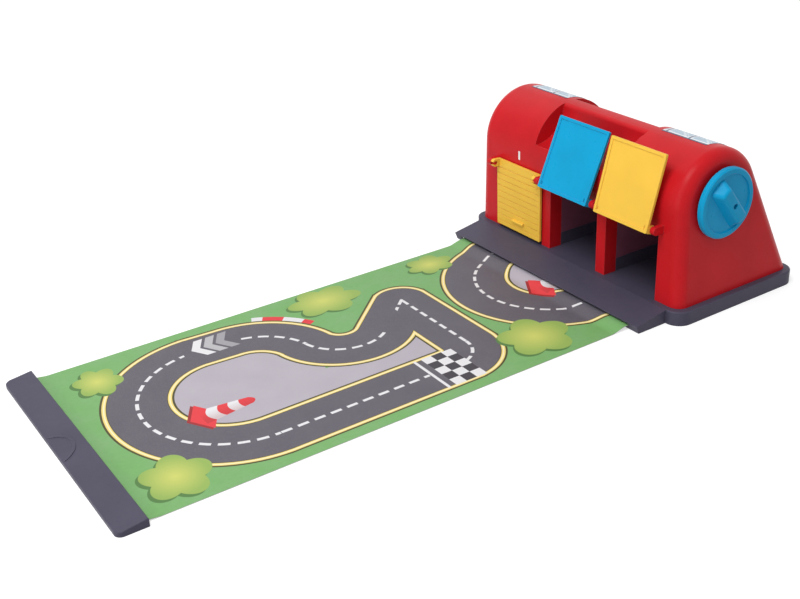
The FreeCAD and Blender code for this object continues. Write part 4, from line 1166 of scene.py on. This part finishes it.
@dataclass
class PlayMat:
    """The printed mat: one sheet from the bar to the lip, and the rest of it from the lip up to the spool."""

    half_width: float = 0.150
    thickness: float = 0.0006
    bar: float = -0.69899
    clamp: float = 0.009
    lip: float = -0.13949
    lying: float = 0.0004
    clamped: float = 0.00195
    raised: float = 0.0048
    rise: float = 0.014
    landing: float = 0.022
    foot: float = -0.13239
    channel: float = 0.0034
    deck: float = -0.096
    wound_gap: float = 0.00005
    travel: float = 0.5585
    columns: int = 12
    rise_steps: int = 6
    lying_steps: int = 50
    landing_steps: int = 10
    roller_steps: int = 16

    def build(self, finish: RoadPrint, backing: Backing) -> None:
        """Makes both sheets.

        Args:
            finish: The print on top.
            backing: The bare underside.
        """
        materials = (finish.material(), backing.material())
        outer = self._sheet("mat_outside", self._lying_path(), materials)
        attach(outer, Body.BAR.value)
        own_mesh(outer)
        hidden = self._hidden_path()
        inner = self._sheet("mat_inside", hidden, materials)
        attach(inner, Body.GARAGE.value)
        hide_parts("mat")
        for piece in (outer, inner):
            log.info("%s", piece.name)

    def _lying_path(self) -> List[Vector]:
        """The sheet's middle line from the bar's clamp down to the floor and up again to the lip.

        Returns:
            The points.
        """
        held = Vector((0, self.bar, self.clamped))
        down = Vector((0, self.bar + self.rise, self.lying))
        end = Vector((0, self.lip - self.landing, self.lying))
        points = [Vector((0, self.bar - self.clamp, self.clamped)), held]
        points += eased(held, down, self.rise_steps)
        points += eased(down, end, self.lying_steps)
        return points + eased(end, Vector((0, self.lip, self.raised)), self.landing_steps)

    def _hidden_path(self) -> List[Vector]:
        """The sheet's middle line from the lip under the deck, round the roller and up to the spool.

        Returns:
            The points.
        """
        low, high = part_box("guide_roller")
        roller = (low + high) / 2
        bend = roller.z - self.channel
        low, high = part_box("spool_core")
        axle = (low + high) / 2
        low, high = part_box("mat_roll")
        wound = (high.z - low.z) / 2 + self.thickness / 2 + self.wound_gap
        across = axle - roller
        reach = math.hypot(across.y, across.z)
        turn = math.atan2(across.z, across.y) - math.acos((bend - wound) / reach)
        points = [Vector((0, self.lip, self.raised)), Vector((0, self.foot, self.raised))]
        points.append(Vector((0, self.deck, self.channel)))
        for step in range(self.roller_steps + 1):
            angle = -math.pi / 2 + (turn + math.pi / 2) * step / self.roller_steps
            points.append(Vector((0, roller.y + math.cos(angle) * bend, roller.z + math.sin(angle) * bend)))
        points.append(Vector((0, axle.y + math.cos(turn) * wound, axle.z + math.sin(turn) * wound)))
        return points

    def _sheet(self, name: str, path: Sequence[Vector], materials: Iterable[Material]) -> bpy.types.Object:
        """Draws an edge out along a path and gives it its thickness.

        Args:
            name: The piece's name.
            path: The sheet's middle line.
            materials: The print and the backing.

        Returns:
            The piece.
        """
        shape = bmesh.new()
        ends = [shape.verts.new(path[0] + Vector((side * self.half_width, 0, 0))) for side in (-1, 1)]
        rim = [shape.edges.new(ends)]
        bmesh.ops.subdivide_edges(shape, edges=rim, cuts=self.columns)
        rim = list(shape.edges)
        for before, after in zip(path, path[1:]):
            made = bmesh.ops.extrude_edge_only(shape, edges=rim)
            fresh = [item for item in made["geom"] if isinstance(item, bmesh.types.BMVert)]
            rim = [item for item in made["geom"] if isinstance(item, bmesh.types.BMEdge)]
            bmesh.ops.translate(shape, vec=after - before, verts=fresh)
        bmesh.ops.recalc_face_normals(shape, faces=shape.faces)
        shape.faces.ensure_lookup_table()
        if shape.faces[0].normal.z < 0:
            bmesh.ops.reverse_faces(shape, faces=shape.faces)
        piece = new_piece(name, shape, materials)
        wall = piece.modifiers.new("thickness", "SOLIDIFY")
        wall.thickness = self.thickness
        wall.offset = 0.0
        wall.material_offset = 1
        wall.material_offset_rim = 1
        return piece


@dataclass
class Dressing:
    """Gives the CAD pieces their finishes."""

    red: Plastic = Plastic("glossy_red", (0.60, 0.009, 0.015), roughness=0.34)
    navy: Plastic = Plastic("navy_grey", (0.066, 0.060, 0.096), roughness=0.48, relief=0.00003, shine=0.2)
    # the liner is red plastic like the housing; this dark maroon is painted shade of the deep bays
    dark: Plastic = Plastic("red_liner_painted_shade", (0.24, 0.075, 0.125), roughness=0.5, relief=0.00003)
    yellow: Plastic = Plastic("sunny_yellow", (0.93, 0.57, 0.070), roughness=0.36, flow=0.096, speck=0.0072)
    blue: Plastic = Plastic("bright_blue", (0.001, 0.36, 0.66), roughness=0.30)
    inner: Plastic = Plastic("inner_grey", (0.30, 0.30, 0.31), roughness=0.5)
    steel: Steel = Steel("zinc_steel")
    backing: Backing = Backing("mat_backing")
    left_label: WindowLabel = WindowLabel("window_print_left", -145.0)
    right_label: WindowLabel = WindowLabel("window_print_right", 79.0)

    def dress(self) -> None:
        """Puts a finish on every CAD piece that stays."""
        groups = (
            (self.red, ("housing", "rear_cover")),
            (self.dark, ("garage_liner",)),
            (self.navy, ("base", "bottom_cover", "pull_bar", "clamp_strip")),
            (self.yellow, ("door_1", "door_3")),
            (self.blue, ("door_2", "knob", "drive_shaft")),
            (self.inner, ("spool_core", "spool_flange_left", "spool_flange_right", "idler_axle",
                          "guide_roller")),
            (self.steel, ("bottom_cover_screws", "housing_screws", "rear_cover_screws", "knob_screw",
                          "clamp_screws", "roller_pins")),
            (self.backing, ("mat_roll",)),
            (self.left_label, ("roof_window_left",)),
            (self.right_label, ("roof_window_right",)),
        )
        for finish, nodes in groups:
            material = finish.material()
            for name in nodes:
                for slot in frame["nodes"][name].material_slots:
                    slot.material = material
                log.info("%s: %s", name, finish.name)


def main() -> None:
    """Builds the scene in order."""
    logging.basicConfig(level=logging.INFO, format="%(message)s")
    bpy.context.scene.view_settings.view_transform = "Standard"
    Studio().build()
    Dressing().dress()
    DoorNumbers().build(Ink("white_ink"))
    PlayMat().build(RoadPrint("road_print"), Backing("mat_underside"))


if __name__ == "__main__":
    main()
